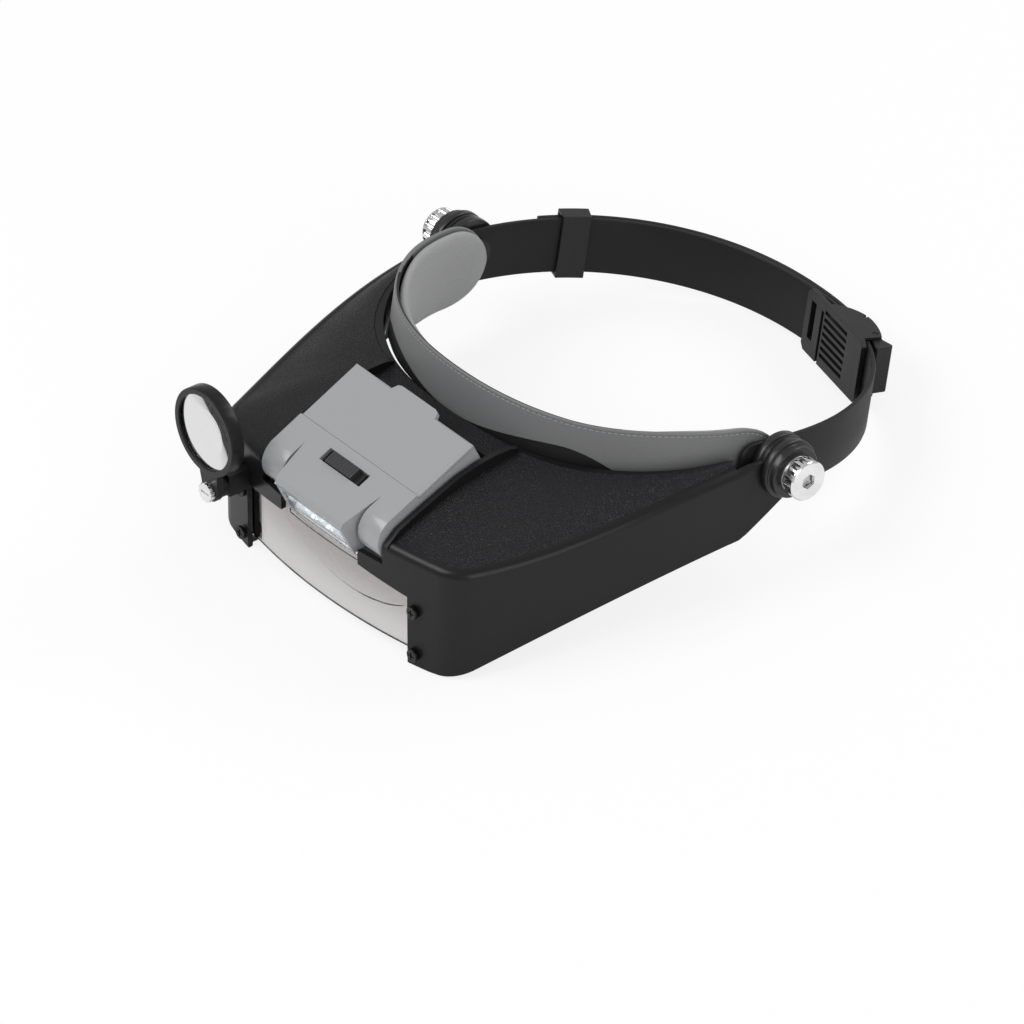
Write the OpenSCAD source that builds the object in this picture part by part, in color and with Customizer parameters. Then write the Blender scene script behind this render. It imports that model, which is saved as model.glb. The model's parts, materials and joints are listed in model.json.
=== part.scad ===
// Lighted headband magnifier: a padded headband that carries a tilting visor with
// a front lens, a flip-down lens, a swinging loupe and a tilting lamp.

/* [Head loop] */
// Half width of the loop at the straps' inner face
loop_half_w = 79.2; // [76:0.2:86]
// From the pivots back to the straps' inner face
loop_rear = 80.4; // [74:0.2:100]
// From the pivots forward to the brow band's outer face
brow_front = 71.5; // [66:0.5:76]
// Squareness of the loop, where 2 is an ellipse
loop_square = 2.17; // [2:0.01:2.4]
// Lean of the headband against the visor, in degrees
band_lean = 9.9; // [4:0.1:14]

/* [Straps] */
// Height of the straps
strap_h = 20; // [14:0.5:24]
// Thickness of the straps
strap_t = 1.6; // [1.2:0.1:2.4]
// How far the straps' middle lies below the pivots
strap_drop = 2.5; // [0:0.1:4]
// How far the straps reach ahead of the pivots
strap_front = 14.5; // [11:0.5:20]
// Length of the keeper along the straps
keeper_len = 10.2; // [6:0.2:16]
// Wall of the keeper
keeper_wall = 1.2; // [0.8:0.1:2]

/* [Brow band and pad] */
// Thickness of the brow band
brow_t = 1.5; // [1:0.1:2.5]
// Top edge above the pivots at the temples
brow_top = 12; // [8:0.5:15]
// Bottom edge below the pivots at the temples
brow_bottom = 17.5; // [12:0.5:20]
// Top edge above the pivots over the forehead
brow_mid_top = 9.8; // [7:0.2:12]
// Bottom edge below the pivots over the forehead
brow_mid_bottom = 6.8; // [4:0.2:12]
// Thickness of the pad at its crown
pad_t = 4.4; // [3:0.2:7]

/* [Buckle] */
// Length of the buckle plate
buckle_len = 41; // [38:0.5:50]
// Thickness of the buckle plate
buckle_plate_t = 2; // [1.6:0.1:3]
// Height of the dome above its chord
dome_rise = 8.4; // [8.2:0.2:12]
// Length of the dome along the strap
dome_len = 25; // [24:0.5:27]
// Height of the release lever
lever_h = 17.2; // [12:0.2:19]
// Depth of the release lever's block
lever_depth = 6.2; // [4:0.2:7]

/* [Temple joints] */
// Radius of the pivot bolts
bolt_r = 2; // [1.5:0.1:2.6]
// Radius of the friction discs
disc_r = 10.4; // [9:0.1:12]
// Thickness of the friction discs
disc_t = 3.1; // [2:0.1:5]
// Radius of the outer collar
collar_r = 9.2; // [8:0.1:10]
// Thickness of each collar
collar_t = 2.7; // [2:0.1:4]
// Radius of the temple knobs
knob_r = 7.1; // [6:0.1:9]
// Thickness of the temple knobs
knob_t = 4.7; // [3.6:0.1:7]
// Teeth round each temple knob
knob_teeth = 14; // [10:1:20]

/* [Visor] */
// Wall of the visor
wall = 2; // [1.6:0.1:2.6]
// Radius of the side walls, seen from above
side_r = 298; // [260:1:400]
// Radius of the bowed front, seen from above
bow_r = 236; // [200:1:320]
// From the pivots forward to the middle of the front
visor_front = 126.1; // [122:0.5:134]
// Radius of the front corners
corner_r = 14; // [9:0.5:18]
// Top of the arms above the pivots
ridge_top = 5.2; // [4:0.2:7]
// Fall of the roof's outer edge towards the front
ridge_drop = 12.4; // [9:0.2:14]
// Lower edge below the pivots, at the temples
skirt_low = 21.4; // [18:0.2:24]
// Fall of the lower edge from the temples to the front
skirt_fall = 28.8; // [24:0.2:34]
// Rim above the pivots over the temples
rim_z = 5; // [4:0.2:6.5]
// Extra height of the rim in the middle
rim_rise = 2.5; // [1:0.1:4]
// Gap between the brow band and the visor's rim
rim_gap = 1.7; // [1.5:0.1:5]
// Half width of the lens opening
window_half_w = 42.8; // [38:0.2:45]
// Half width of the gap between the two lips
lip_gap_half = 20.4; // [20:0.1:24]

/* [Lenses] */
// Thickness of the front lens
lens_t = 2.4; // [1.8:0.1:3.4]
// Bottom edge of the front lens below the pivots
lens_low = 45; // [40:0.5:48]
// Half width of the flip lens
flip_half_w = 38.5; // [30:0.5:40]
// Height of the flip lens
flip_h = 22.5; // [16:0.5:24]
// Thickness of the flip lens
flip_t = 2.2; // [1.6:0.1:3]

/* [Loupe] */
// Outer radius of the loupe's ring
loupe_r = 15.6; // [13:0.1:17]
// Depth of the loupe's ring
loupe_depth = 5.2; // [4.4:0.1:7]
// From the loupe's centre to its pivot
loupe_reach = 22.6; // [22.4:0.1:28]
// Radius of the loupe's screw head
loupe_screw_r = 3.5; // [2.8:0.1:4.5]

/* [Lamp] */
// Half width of the lamp
lamp_half_w = 31; // [29.5:0.1:32]
// From the hinge back to the lamp's rear face
lamp_rear = 37.75; // [36.5:0.25:38.5]
// Radius of the hinge lobes
lobe_r = 8.4; // [8:0.1:9]
// Lamp's underside below the hinge
lamp_low = 6; // [5.8:0.1:6.2]
// Slope of the lamp and its tray, in degrees
lamp_pitch = 25.4; // [24:0.1:26.5]
// Half width of the head at its front
head_half_w = 17.4; // [16.8:0.1:18.6]
// From the hinge forward to the head's face
head_front = 11.45; // [11:0.05:12]
// Radius of a battery cell
cell_r = 5.25; // [4.9:0.05:5.25]
// Length of a battery cell
cell_len = 44.5; // [42:0.5:46]

/* [Hidden] */

// Clearances
slip = 0.3;
running = 0.05;
touch = 0.1;
layer_gap = 0.3;

// Directions of the three frames: the visor lies at rest_pitch on a table, the
// headband leans back from it, and the lamp slopes on the visor's roof.
function unit(v) = v / norm(v);
function turn(p, a) = [p[0] * cos(a) - p[1] * sin(a), p[0] * sin(a) + p[1] * cos(a)];
function mix(a, b, k) = a + (b - a) * k;
function ease(k) = let(c = min(1, max(0, k))) c * c * (3 - 2 * c);

// A superellipse, its outward normal and a curve at a distance from it
function oval(a, b, t) = [
    a * sign(cos(t)) * pow(abs(cos(t)), 2 / loop_square),
    b * sign(sin(t)) * pow(abs(sin(t)), 2 / loop_square)
];
function oval_normal(a, b, t) = unit([
    sign(cos(t)) * pow(abs(cos(t)), 2 - 2 / loop_square) / a,
    sign(sin(t)) * pow(abs(sin(t)), 2 - 2 / loop_square) / b
]);
function oval_off(a, b, t, d) = oval(a, b, t) + d * oval_normal(a, b, t);
// Angle of the superellipse where its half width has shrunk to x
function oval_at(a, x) = acos(pow(abs(x) / a, loop_square / 2));

function strap_pt(t, d) = oval_off(loop_half_w, loop_rear, t, d);

// Strap layers: the left strap steps out over the right one inside the buckle
tail_step = strap_t + layer_gap;
strap_top = strap_h / 2 - strap_drop;
strap_bottom = -strap_h / 2 - strap_drop;

// Buckle: a rigid piece on the chord between two points of the strap
buckle_x0 = 3.5;
buckle_t1 = oval_at(loop_half_w, buckle_x0);
buckle_p1 = strap_pt(buckle_t1, 0);
buckle_x2 = buckle_x0 + buckle_len * 0.9;
buckle_t2 = oval_at(loop_half_w, buckle_x2);
buckle_p2 = strap_pt(buckle_t2, 0);
buckle_mid = (buckle_p1 + buckle_p2) / 2;
buckle_dir = atan2(buckle_p2[1] - buckle_p1[1], buckle_p2[0] - buckle_p1[0]);
buckle_over = 1.2;
buckle_top = strap_top + 1.4;
buckle_bottom = strap_bottom - buckle_over;
lever_top = strap_top;
housing_wall = 1.5;
plate_back = -0.6;
dome_u = 6;
dome_back_u = dome_len - 8;
dome_foot = dome_len - dome_back_u + dome_u;
dome_up = dome_rise - plate_back;
dome_arc_r = (dome_foot * dome_foot + dome_up * dome_up) / (2 * dome_up);
dome_long_r = 2 * dome_arc_r;
cheek_top = buckle_top - 0.3;
cheek_bottom = buckle_bottom + 0.1;
lever_u = dome_back_u - 2.4;
lever_v = 5.1;
lever_ear_r = 2;
lever_pin_r = 1;
lever_tip_u = lever_u + 7.8;

// Keeper
keeper_x = loop_half_w - 7.3;
keeper_t = 180 - oval_at(loop_half_w, keeper_x);
keeper_ang = keeper_len / 2 / loop_half_w * 180 / PI;
tail_t = keeper_t + 9;

// Brow band and pad
brow_half_w = loop_half_w - slip - touch;
brow_tip = 3.6;
brow_round = 18;
bolt_head_r = 5;
bolt_head_t = 1.2;
bolt_seat = 0.25;

// Temple stack along X
strap_out = loop_half_w + strap_t;
disc_in = strap_out + touch;
arm_in = disc_in + disc_t + touch;
arm_out = arm_in + wall + 0.2;
collar_out = arm_out + 2 * collar_t;
washer_t = 0.8;
washer_r = 6.5;
knob_hub = 1;
knob_in = collar_out + washer_t + touch;
knob_out = knob_in + knob_hub + knob_t;
knob_socket_r = 2.7;
knob_edge = 0.5;
knob_groove_r = 1.1;
boss_r = disc_r + 1.2;

// Visor outline, seen from above
side_c = [arm_out - side_r, 0];
front_c = [0, bow_r - visor_front];
corner_d = norm(front_c - side_c);
corner_ra = side_r - corner_r;
corner_rb = bow_r - corner_r;
corner_a = (corner_ra * corner_ra - corner_rb * corner_rb + corner_d * corner_d) / (2 * corner_d);
corner_h = sqrt(corner_ra * corner_ra - corner_a * corner_a);
corner_u = unit(front_c - side_c);
corner_c = side_c + corner_a * corner_u + corner_h * [corner_u[1], -corner_u[0]];
side_end = atan2(corner_c[1] - side_c[1], corner_c[0] - side_c[0]);
front_end = atan2(corner_c[1] - front_c[1], corner_c[0] - front_c[0]);
loft_start = 31;
side_start = -asin(loft_start / side_r);
side_steps = 10;
corner_steps = 7;
front_steps = 8;

function arc_station(c, r, a) = [c[0] + r * cos(a), c[1] + r * sin(a), cos(a), sin(a)];
half_outline = concat(
    [for (i = [0:side_steps]) arc_station(side_c, side_r, mix(side_start, side_end, i / side_steps))],
    [for (i = [1:corner_steps]) arc_station(corner_c, corner_r, mix(side_end, front_end, i / corner_steps))],
    [for (i = [1:front_steps]) arc_station(front_c, bow_r, mix(front_end, -90, i / front_steps))]
);
half_count = len(half_outline);
outline = concat(
    half_outline,
    [for (i = [half_count - 2:-1:0]) let(s = half_outline[i]) [-s[0], s[1], -s[2], s[3]]]
);

// Heights of the visor over its length
function ridge(y) = ridge_top - ridge_drop * pow(sin(90 * pow(min(1, -y / (visor_front - 7)), 1.2)), 2);
function skirt(y) = -skirt_low - skirt_fall * y * y / ((visor_front - 3.8) * (visor_front - 3.8));
function roof_crown(x) = mix(0.8, 4, pow(cos(90 * min(1, abs(x) / arm_out)), 2));
function rim_height(x) = rim_z + rim_rise * pow(cos(90 * min(1, abs(x) / 60)), 2);

// Rim curve round the brow band, and the rim point that faces an outline point
rim_a = brow_half_w + strap_t + rim_gap + 1.3;
rim_b = brow_front + rim_gap;
function rim_pt(x, y) =
    let(k = (-y / abs(x == 0 ? 0.0001 : x)) * rim_a / rim_b)
    let(t = x == 0 ? 90 : atan(pow(k, loop_square / 2)))
    let(p = oval(rim_a, rim_b, t))
    [sign(x) * p[0], -p[1]];

// Lens, seen from above, lies behind the front wall
lens_out_r = bow_r - wall - layer_gap;
lens_in_r = lens_out_r - lens_t;
lens_top = 19.5;
lens_dip = 21.9;
lens_dip_half = head_half_w + 1.2;
lens_half_w = window_half_w + 7.2;
lens_tab_low = lens_low + 3.5;
screw_x = window_half_w + 3.2;
screw_z = [-28, -44.6];
screw_head_r = 2.3;
screw_head_t = 1.2;
screw_shaft_r = 1;
clamp_t = 2.6;
clamp_top = 25.6;
window_top = 23.6;
window_mid_top = 21.2;
lip_top = 15.8;

// Flip lens
flip_y = -111;
flip_z = -23.3;
flip_bar_r = 2.4;
flip_pin_r = 1.3;
flip_lug_in = window_half_w - 0.2;
flip_lug_t = 2.4;
flip_lug_r = 3;
flip_lug_top = -5.3;
flip_lug_rise = 1.05;
flip_round = 60;

// Loupe, seen from the front
loupe_x = -window_half_w - 2.7;
loupe_z = 0.8;
loupe_pivot_x = -window_half_w - 1.6;
loupe_pivot_z = loupe_z - loupe_reach;
loupe_arm_t = 2.6;
loupe_arm_w = 8;
loupe_back = -132.6;
loupe_face = loupe_back - loupe_depth;
loupe_arm_back = -133.8;
loupe_bore = loupe_r - 1.4;
loupe_lip = loupe_bore - 0.8;
loupe_front_t = 1.1;
loupe_shaft_r = 1.5;
bracket_r = 3.6;
bracket_front = loupe_arm_back + layer_gap;
loupe_screw_back = loupe_arm_back - loupe_arm_t - touch;
loupe_screw_front = loupe_screw_back - 1.9;
peg_r = 1.4;
peg_x = loupe_pivot_x - 2;
peg_z = loupe_pivot_z + 3.2;

// Lamp
lamp_y = -116.5;
lamp_z = -8.7;
lamp_top = lobe_r;
lamp_wall = 1.6;
lamp_gap = 1;
tray_in = lamp_half_w + lamp_gap;
tray_wall = 2.2;
tray_rear = lamp_y + lamp_rear * cos(lamp_pitch) + lamp_low * sin(lamp_pitch) + 0.8;
tray_floor_gap = 0.8;
head_rear_half_w = head_half_w + 3.6;
cover_y = 12.6;
cover_t = 1.9;
bay_front = cover_y + touch;
bay_half = 25.4;
rib_t = 0.7;
rib_h = 1.2;
rib_x = lamp_half_w - 2.2;
base_t = 1.3;
case_screw_x = 27.6;
slot_half = 10.6;
slot_y0 = 3.5;
slot_y1 = 8.8;
pin_r = 1.5;
pin_in = 24;
pane_top = 4.7;
pane_half = 15.8;
cavity_half = pane_half + touch;
cavity_rear = 10.9;
cell_x = 24.6;
cell_y = [bay_front + 0.3 + cell_r, bay_front + 0.9 + 3 * cell_r];
cell_z = lamp_top - cover_t - touch - 0.2 - cell_r;
led_x = 4;
led_r = 2.5;

// The part stands on the feet of the visor's columns and on the buckle plate
foot_y = -(visor_front - 4.3);
foot_z = skirt(foot_y) + 0.5;
dome_rear = buckle_mid[1] + dome_u * sin(buckle_dir) + (dome_rise - dome_arc_r) * cos(buckle_dir) + dome_arc_r;
buckle_foot = turn([dome_rear, cheek_bottom], -band_lean);
rest_pitch = atan2(buckle_foot[1] - foot_z, buckle_foot[0] - foot_y);
pivot_h = -turn([foot_y, foot_z], -rest_pitch)[1];
rear_point = turn([dome_rear, cheek_top], -band_lean - rest_pitch);
front_point = turn([loupe_screw_front, loupe_pivot_z - loupe_screw_r], -rest_pitch);
pivot_y = -(rear_point[0] + front_point[0]) / 2;

module in_visor() translate([0, pivot_y, pivot_h]) rotate([-rest_pitch, 0, 0]) children();
module in_band() in_visor() rotate([-band_lean, 0, 0]) children();
module in_lamp() in_visor() translate([0, lamp_y, lamp_z]) rotate([lamp_pitch, 0, 0]) children();
module in_buckle() in_band() translate([buckle_mid[0], buckle_mid[1], 0]) rotate([0, 0, buckle_dir]) children();

// Both sides of the head
module both_sides() {
    children();
    mirror([1, 0, 0]) children();
}
// A cylinder along +X, +Y or Z between two places
module bar_x(r, x0, x1, y = 0, z = 0, n = 48)
    translate([x0, y, z]) rotate([0, 90, 0]) cylinder(r = r, h = x1 - x0, $fn = n);
module bar_y(r, y0, y1, x = 0, z = 0, n = 48)
    translate([x, y0, z]) rotate([-90, 0, 0]) cylinder(r = r, h = y1 - y0, $fn = n);
// A box from two corners
module block(a, b) translate(a) cube(b - a);
// An outline drawn in Y and Z, between two places along X
module side_profile(x0, x1) translate([x0, 0, 0]) rotate([90, 0, 90]) linear_extrude(x1 - x0) children();
// An outline drawn in X and Z, between two places along Y
module front_profile(y0, y1) translate([0, y1, 0]) rotate([90, 0, 0]) linear_extrude(y1 - y0) children();

// A closed skin over rings of equal length, from the first ring to the last. The two
// ends are single faces, or the given ones.
module loft(rings, ends = []) {
    n = len(rings[0]);
    m = len(rings);
    caps = len(ends) > 0 ? ends : [[for (i = [0:n - 1]) i]];
    polyhedron(
        points = [for (r = rings) each r],
        faces = concat(
            caps,
            [for (j = [0:m - 2]) each [for (i = [0:n - 1]) each [
                [j * n + i, (j + 1) * n + i, (j + 1) * n + (i + 1) % n],
                [j * n + i, (j + 1) * n + (i + 1) % n, j * n + (i + 1) % n]
            ]]],
            [for (c = caps) [for (i = [len(c) - 1:-1:0]) (m - 1) * n + c[i]]]
        ),
        convexity = 8
    );
}

// Headband

// Edges of the brow band along its curve, t from 0 at the left temple to 180
brow_t0 = -asin(pow(brow_tip / brow_front, loop_square / 2));
function brow_tip_k(y) = y < -(brow_round - brow_tip) ? 1
    : sqrt(max(0.05, 1 - pow((y + brow_round - brow_tip) / brow_round, 2)));
function brow_flare(t) = ease((min(t, 180 - t) - 22) / 36);
function brow_mid(t) = (brow_edge_top(t) + brow_edge_low(t)) / 2;
function brow_edge_top(t) = mix(brow_top, brow_mid_top, brow_flare(t));
function brow_edge_low(t) = mix(-brow_bottom, -brow_mid_bottom, brow_flare(t));
function brow_pt(t, d) = let(p = oval_off(brow_half_w, brow_front, t, d)) [p[0], -p[1]];
function brow_z(t, k, inset) =
    let(half = (brow_edge_top(t) - brow_edge_low(t)) / 2 - inset)
    brow_mid(t) + k * half * brow_tip_k(brow_pt(t, 0)[1]);
brow_steps = 44;
function brow_t_at(i) = mix(brow_t0, 180 - brow_t0, i / brow_steps);

module brow_band() color("dimgray") in_band() {
    difference() {
        loft([for (i = [0:brow_steps]) let(t = brow_t_at(i), a = brow_pt(t, 0), b = brow_pt(t, -brow_t)) [
            [a[0], a[1], brow_z(t, -1, 0)],
            [b[0], b[1], brow_z(t, -1, 0)],
            [b[0], b[1], brow_z(t, 1, 0)],
            [a[0], a[1], brow_z(t, 1, 0)]
        ]]);
        bar_x(bolt_r + touch, -loop_half_w, loop_half_w);
    }
}

// Half section of the pad: how far in and how high, as shares of its crown and half height
pad_section = [
    [0, -0.97], [0.35, -1], [0.62, -0.95], [0.82, -0.8], [0.95, -0.5], [1, 0],
    [0.95, 0.5], [0.82, 0.8], [0.62, 0.95], [0.35, 1], [0, 0.97]
];
pad_steps = 40;
module forehead_pad() color("gray") in_band() {
    difference() {
        loft([for (i = [0:pad_steps])
            let(t = mix(brow_t0 + 0.8, 179.2 - brow_t0, i / pad_steps))
            [for (q = pad_section)
                let(p = brow_pt(t, -brow_t - slip - q[0] * pad_t))
                [p[0], p[1], brow_z(t, q[1], 0.6)]]
        ]);
        bar_x(bolt_head_r + slip, -brow_half_w, -(brow_half_w - brow_t - bolt_head_t - bolt_seat - slip));
        bar_x(bolt_head_r + slip, brow_half_w - brow_t - bolt_head_t - bolt_seat - slip, brow_half_w);
    }
}

strap_steps = 26;
strap_corner = 5;
// Rounded front end of a strap, with the bolt's hole, cut out of a plain strip
module strap_end_cut() {
    side_profile(-loop_half_w - 20, loop_half_w + 20) difference() {
        translate([-strap_front - 1, strap_bottom - 1])
            square([strap_corner + 1, strap_h + 2]);
        for (z = [strap_bottom + strap_corner, strap_top - strap_corner])
            translate([-strap_front + strap_corner, z]) circle(r = strap_corner, $fn = 40);
        translate([-strap_front, strap_bottom + strap_corner])
            square([strap_corner + 2, strap_h - 2 * strap_corner]);
    }
}
module strap_strip(line_in, line_out) {
    translate([0, 0, strap_bottom]) linear_extrude(strap_h)
        polygon(concat(line_in, [for (i = [len(line_out) - 1:-1:0]) line_out[i]]));
}

// Step of the left strap from the inner layer to the outer one
step_t0 = buckle_t2 + 3;
step_t1 = buckle_t2 + 17;
function left_off(t) = tail_step * ease((t - step_t0) / (step_t1 - step_t0));
left_ts = concat(
    [for (i = [0:12]) mix(1, step_t0, i / 12)],
    [for (i = [1:7]) mix(step_t0, step_t1, i / 7)],
    [for (i = [1:16]) mix(step_t1, tail_t, i / 16)]
);
module strap_left() color("#1c1c1e") in_band() difference() {
    strap_strip(
        concat([[loop_half_w, -strap_front]], [for (t = left_ts) strap_pt(t, left_off(t))]),
        concat([[strap_out, -strap_front]], [for (t = left_ts) strap_pt(t, left_off(t) + strap_t)])
    );
    strap_end_cut();
    bar_x(bolt_r + touch, 0, loop_half_w + 10);
}

right_end_t = buckle_t1 - 7;
module strap_right() color("#1c1c1e") in_band() difference() {
    strap_strip(
        concat([[-loop_half_w, -strap_front]],
            [for (i = [0:strap_steps]) strap_pt(mix(179, right_end_t, i / strap_steps), 0)]),
        concat([[-strap_out, -strap_front]],
            [for (i = [0:strap_steps]) strap_pt(mix(179, right_end_t, i / strap_steps), strap_t)])
    );
    strap_end_cut();
    bar_x(bolt_r + touch, -loop_half_w - 10, 0);
}

keeper_steps = 8;
module keeper_sector(d0, d1) {
    ts = [for (i = [0:keeper_steps]) keeper_t + mix(-keeper_ang, keeper_ang, i / keeper_steps)];
    polygon(concat([for (t = ts) strap_pt(t, d0)], [for (i = [keeper_steps:-1:0]) strap_pt(ts[i], d1)]));
}
module strap_keeper() color("#161618") in_band() difference() {
    translate([0, 0, strap_bottom - slip - keeper_wall])
        linear_extrude(strap_h + 2 * slip + 2 * keeper_wall)
        keeper_sector(-slip - keeper_wall, tail_step + strap_t + slip + keeper_wall);
    translate([0, 0, strap_bottom - slip]) linear_extrude(strap_h + 2 * slip)
        keeper_passage();
}
module keeper_passage() {
    ts = [for (i = [0:keeper_steps + 4]) keeper_t + mix(-keeper_ang - 2, keeper_ang + 2, i / (keeper_steps + 4))];
    polygon(concat(
        [for (t = ts) strap_pt(t, -slip)],
        [for (i = [keeper_steps + 4:-1:0]) strap_pt(ts[i], tail_step + strap_t + slip)]
    ));
}

// Buckle: u runs along the strap towards the left temple, v points away from the head
lever_in_v = 2;
slot_w = 3.4;
split_w = 1.6;
louvre_w = 1.3;
louvre_len = 16.6;
louvre_u = -7;
louvre_count = 7;
module plate_outline() {
    c = 1.8;
    h0 = buckle_bottom;
    h1 = buckle_top;
    u0 = -buckle_len / 2;
    u1 = buckle_len / 2;
    polygon([[u0, h0 + c], [u0 + c, h0], [u1 - c / 2, h0], [u1, h0 + c / 2], [u1, h1 - c], [u1 - c, h1],
        [u0 + c, h1], [u0, h1 - c]]);
}
module buckle_plate() color("#232325") in_buckle() difference() {
    front_profile(plate_back - buckle_plate_t, plate_back) plate_outline();
    front_profile(plate_back - buckle_plate_t - 1, plate_back + 1) {
        translate([-buckle_len / 2 + slot_w, buckle_bottom + 1.6 * slot_w])
            square([slot_w, buckle_top - buckle_bottom - 2.6 * slot_w]);
        translate([louvre_u - 1.6 * split_w, buckle_bottom - 1])
            square([split_w, buckle_top - buckle_bottom + 1 - slot_w]);
        for (i = [0:louvre_count - 1])
            translate([louvre_u, mix(buckle_bottom + slot_w, buckle_top - slot_w, i / (louvre_count - 1))])
                square([louvre_len, louvre_w], center = false);
    }
}

passage_v = tail_step + strap_t + slip + 2.6;
shell_end = lever_u - lever_ear_r - 0.6;
// The dome rises in a short arc from its foot and falls in a long one to the lever
module dome_profile(shrink) {
    intersection() {
        translate([dome_u, dome_rise - dome_arc_r]) circle(r = dome_arc_r - shrink, $fn = 96);
        translate([dome_u - dome_foot, plate_back]) square([dome_foot, dome_up + 1]);
    }
    intersection() {
        translate([dome_u, dome_rise - dome_long_r]) circle(r = dome_long_r - shrink, $fn = 180);
        translate([dome_u - touch, plate_back]) square([dome_back_u - dome_u + touch - shrink, dome_up + 1]);
    }
}
// Two cheeks above and below the strap, joined by the shell that bridges it
module buckle_housing() color("#262628") in_buckle() difference() {
    translate([0, 0, cheek_bottom]) linear_extrude(cheek_top - cheek_bottom) dome_profile(0);
    translate([0, 0, strap_bottom - slip]) linear_extrude(strap_h + 2 * slip) {
        dome_profile(housing_wall);
        translate([-buckle_len, plate_back - 1]) square([2 * buckle_len, passage_v + 1]);
        translate([shell_end, plate_back]) square([dome_len, dome_rise + 3]);
    }
    translate([0.4 * dome_u, dome_rise - 1, strap_top]) cylinder(r = 0.7, h = strap_h, $fn = 24);
    translate([lever_u, lever_v, buckle_bottom - 1])
        cylinder(r = lever_pin_r + running, h = strap_h + 12, $fn = 32);
}

module release_lever() color("#1b1b1d") in_buckle() difference() {
    translate([0, 0, lever_top - lever_h]) linear_extrude(lever_h) difference() {
        union() {
            translate([lever_u, lever_v]) circle(r = lever_ear_r, $fn = 48);
            polygon([[lever_u - 0.4, lever_v - 1.9], [lever_u + 3, lever_v - 2.2],
                [lever_tip_u - 0.6, lever_in_v], [lever_tip_u, lever_in_v + 0.6],
                [lever_tip_u - 0.6, lever_in_v + lever_depth], [lever_tip_u - 1.4, lever_in_v + lever_depth + 0.4],
                [lever_u + 2.6, lever_v + 1.9], [lever_u, lever_v + 1.9]]);
        }
    }
    translate([lever_u, lever_v, strap_bottom - 4])
        cylinder(r = lever_pin_r + running, h = strap_h + 8, $fn = 32);
}
module lever_pin() color("silver") in_buckle()
    translate([lever_u, lever_v, cheek_bottom + 0.2])
    cylinder(r = lever_pin_r, h = cheek_top - cheek_bottom - 0.4, $fn = 32);

// Temple joints
module pivot_bolts() color("silver") in_band() both_sides() {
    bar_x(bolt_r, brow_half_w - brow_t - bolt_seat, knob_out - 1.6);
    bar_x(bolt_head_r, brow_half_w - brow_t - bolt_seat - bolt_head_t, brow_half_w - brow_t - bolt_seat);
}
module friction_discs() color("#0f0f10") in_band() both_sides() difference() {
    bar_x(disc_r, disc_in, disc_in + disc_t, n = 72);
    bar_x(bolt_r + running, disc_in - 1, disc_in + disc_t + 1);
}
module pivot_collars() color("#0f0f10") in_band() both_sides() difference() {
    union() {
        bar_x(disc_r, arm_out, arm_out + collar_t, n = 72);
        bar_x(collar_r, arm_out + collar_t, collar_out, n = 72);
    }
    bar_x(bolt_r + running, arm_out - 1, collar_out + 1);
}
module knob_washers() color("silver") in_band() both_sides() difference() {
    bar_x(washer_r, collar_out, collar_out + washer_t);
    bar_x(bolt_r + running, collar_out - 1, collar_out + washer_t + 1);
}
module knob() in_band() difference() {
    union() {
        bar_x(knob_r, knob_in + knob_hub, knob_out - knob_edge, n = 72);
        translate([knob_out - knob_edge, 0, 0]) rotate([0, 90, 0])
            cylinder(r1 = knob_r, r2 = knob_r - knob_edge, h = knob_edge, $fn = 72);
        bar_x(knob_r - 2, knob_in, knob_in + knob_hub);
    }
    for (i = [0:knob_teeth - 1]) rotate([i * 360 / knob_teeth, 0, 0])
        bar_x(knob_groove_r, knob_in + knob_hub - 1, knob_out - 2 * knob_edge, y = knob_r + 0.3, n = 20);
    bar_x(bolt_r + running, knob_in - 1, knob_out - 1.5);
    bar_x(knob_socket_r, knob_out - 2.4, knob_out + 1, n = 6);
}
module knob_left() color("gainsboro") knob();
module knob_right() color("gainsboro") mirror([1, 0, 0]) knob();

// Visor

edge_f = 3.2;
roof_steps = 5;
flange_h = 8;
// One section of the hood, from the lower outer edge up, over the roof and back
function hood_ring(s) =
    let(o = [s[0], s[1]], r = rim_pt(s[0], s[1]), e = unit(r - o))
    let(c = 1 / max(0.5, -[s[2], s[3]] * e), p0 = o + edge_f * c * e)
    let(zl = skirt(s[1]), zr = ridge(s[1]), zm = rim_height(r[0]))
    let(crown = roof_crown(s[0]))
    let(over = [for (k = [1:roof_steps]) let(q = k / roof_steps, p = mix(p0, r, q))
        [p[0], p[1], mix(zr, zm, q) + crown * sin(180 * q)]])
    concat(
        [[o[0], o[1], zl]],
        [for (a = [0:30:90]) let(p = o + edge_f * c * (1 - cos(a)) * e) [p[0], p[1], zr - edge_f * (1 - sin(a))]],
        over,
        [[r[0], r[1], zm - flange_h]],
        [let(p = r - wall * e) [p[0], p[1], zm - flange_h]],
        [let(p = r - wall * e) [p[0], p[1], zm - wall]],
        [for (k = [roof_steps - 1:-1:1]) let(q = k / roof_steps, p = mix(o + wall * c * e, r - wall * e, q))
            [p[0], p[1], mix(zr, zm, q) + crown * sin(180 * q) - wall]],
        [let(p = o + wall * c * e) [p[0], p[1], zr - edge_f]],
        [let(p = o + wall * c * e) [p[0], p[1], zl]]
    );
// The end of the hood's skin, split into plain strips from the wall up to the rim
hood_n = 9 + 2 * roof_steps;
hood_end = concat(
    [[0, 1, hood_n - 2, hood_n - 1], [1, 2, 3, 4, hood_n - 2]],
    [for (k = [0:roof_steps - 1]) [4 + k, 5 + k, hood_n - 3 - k, hood_n - 2 - k]],
    [[for (k = [4:7]) k + roof_steps]]
);
module hood_skin() loft([for (s = outline) hood_ring(s)], hood_end);

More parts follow.
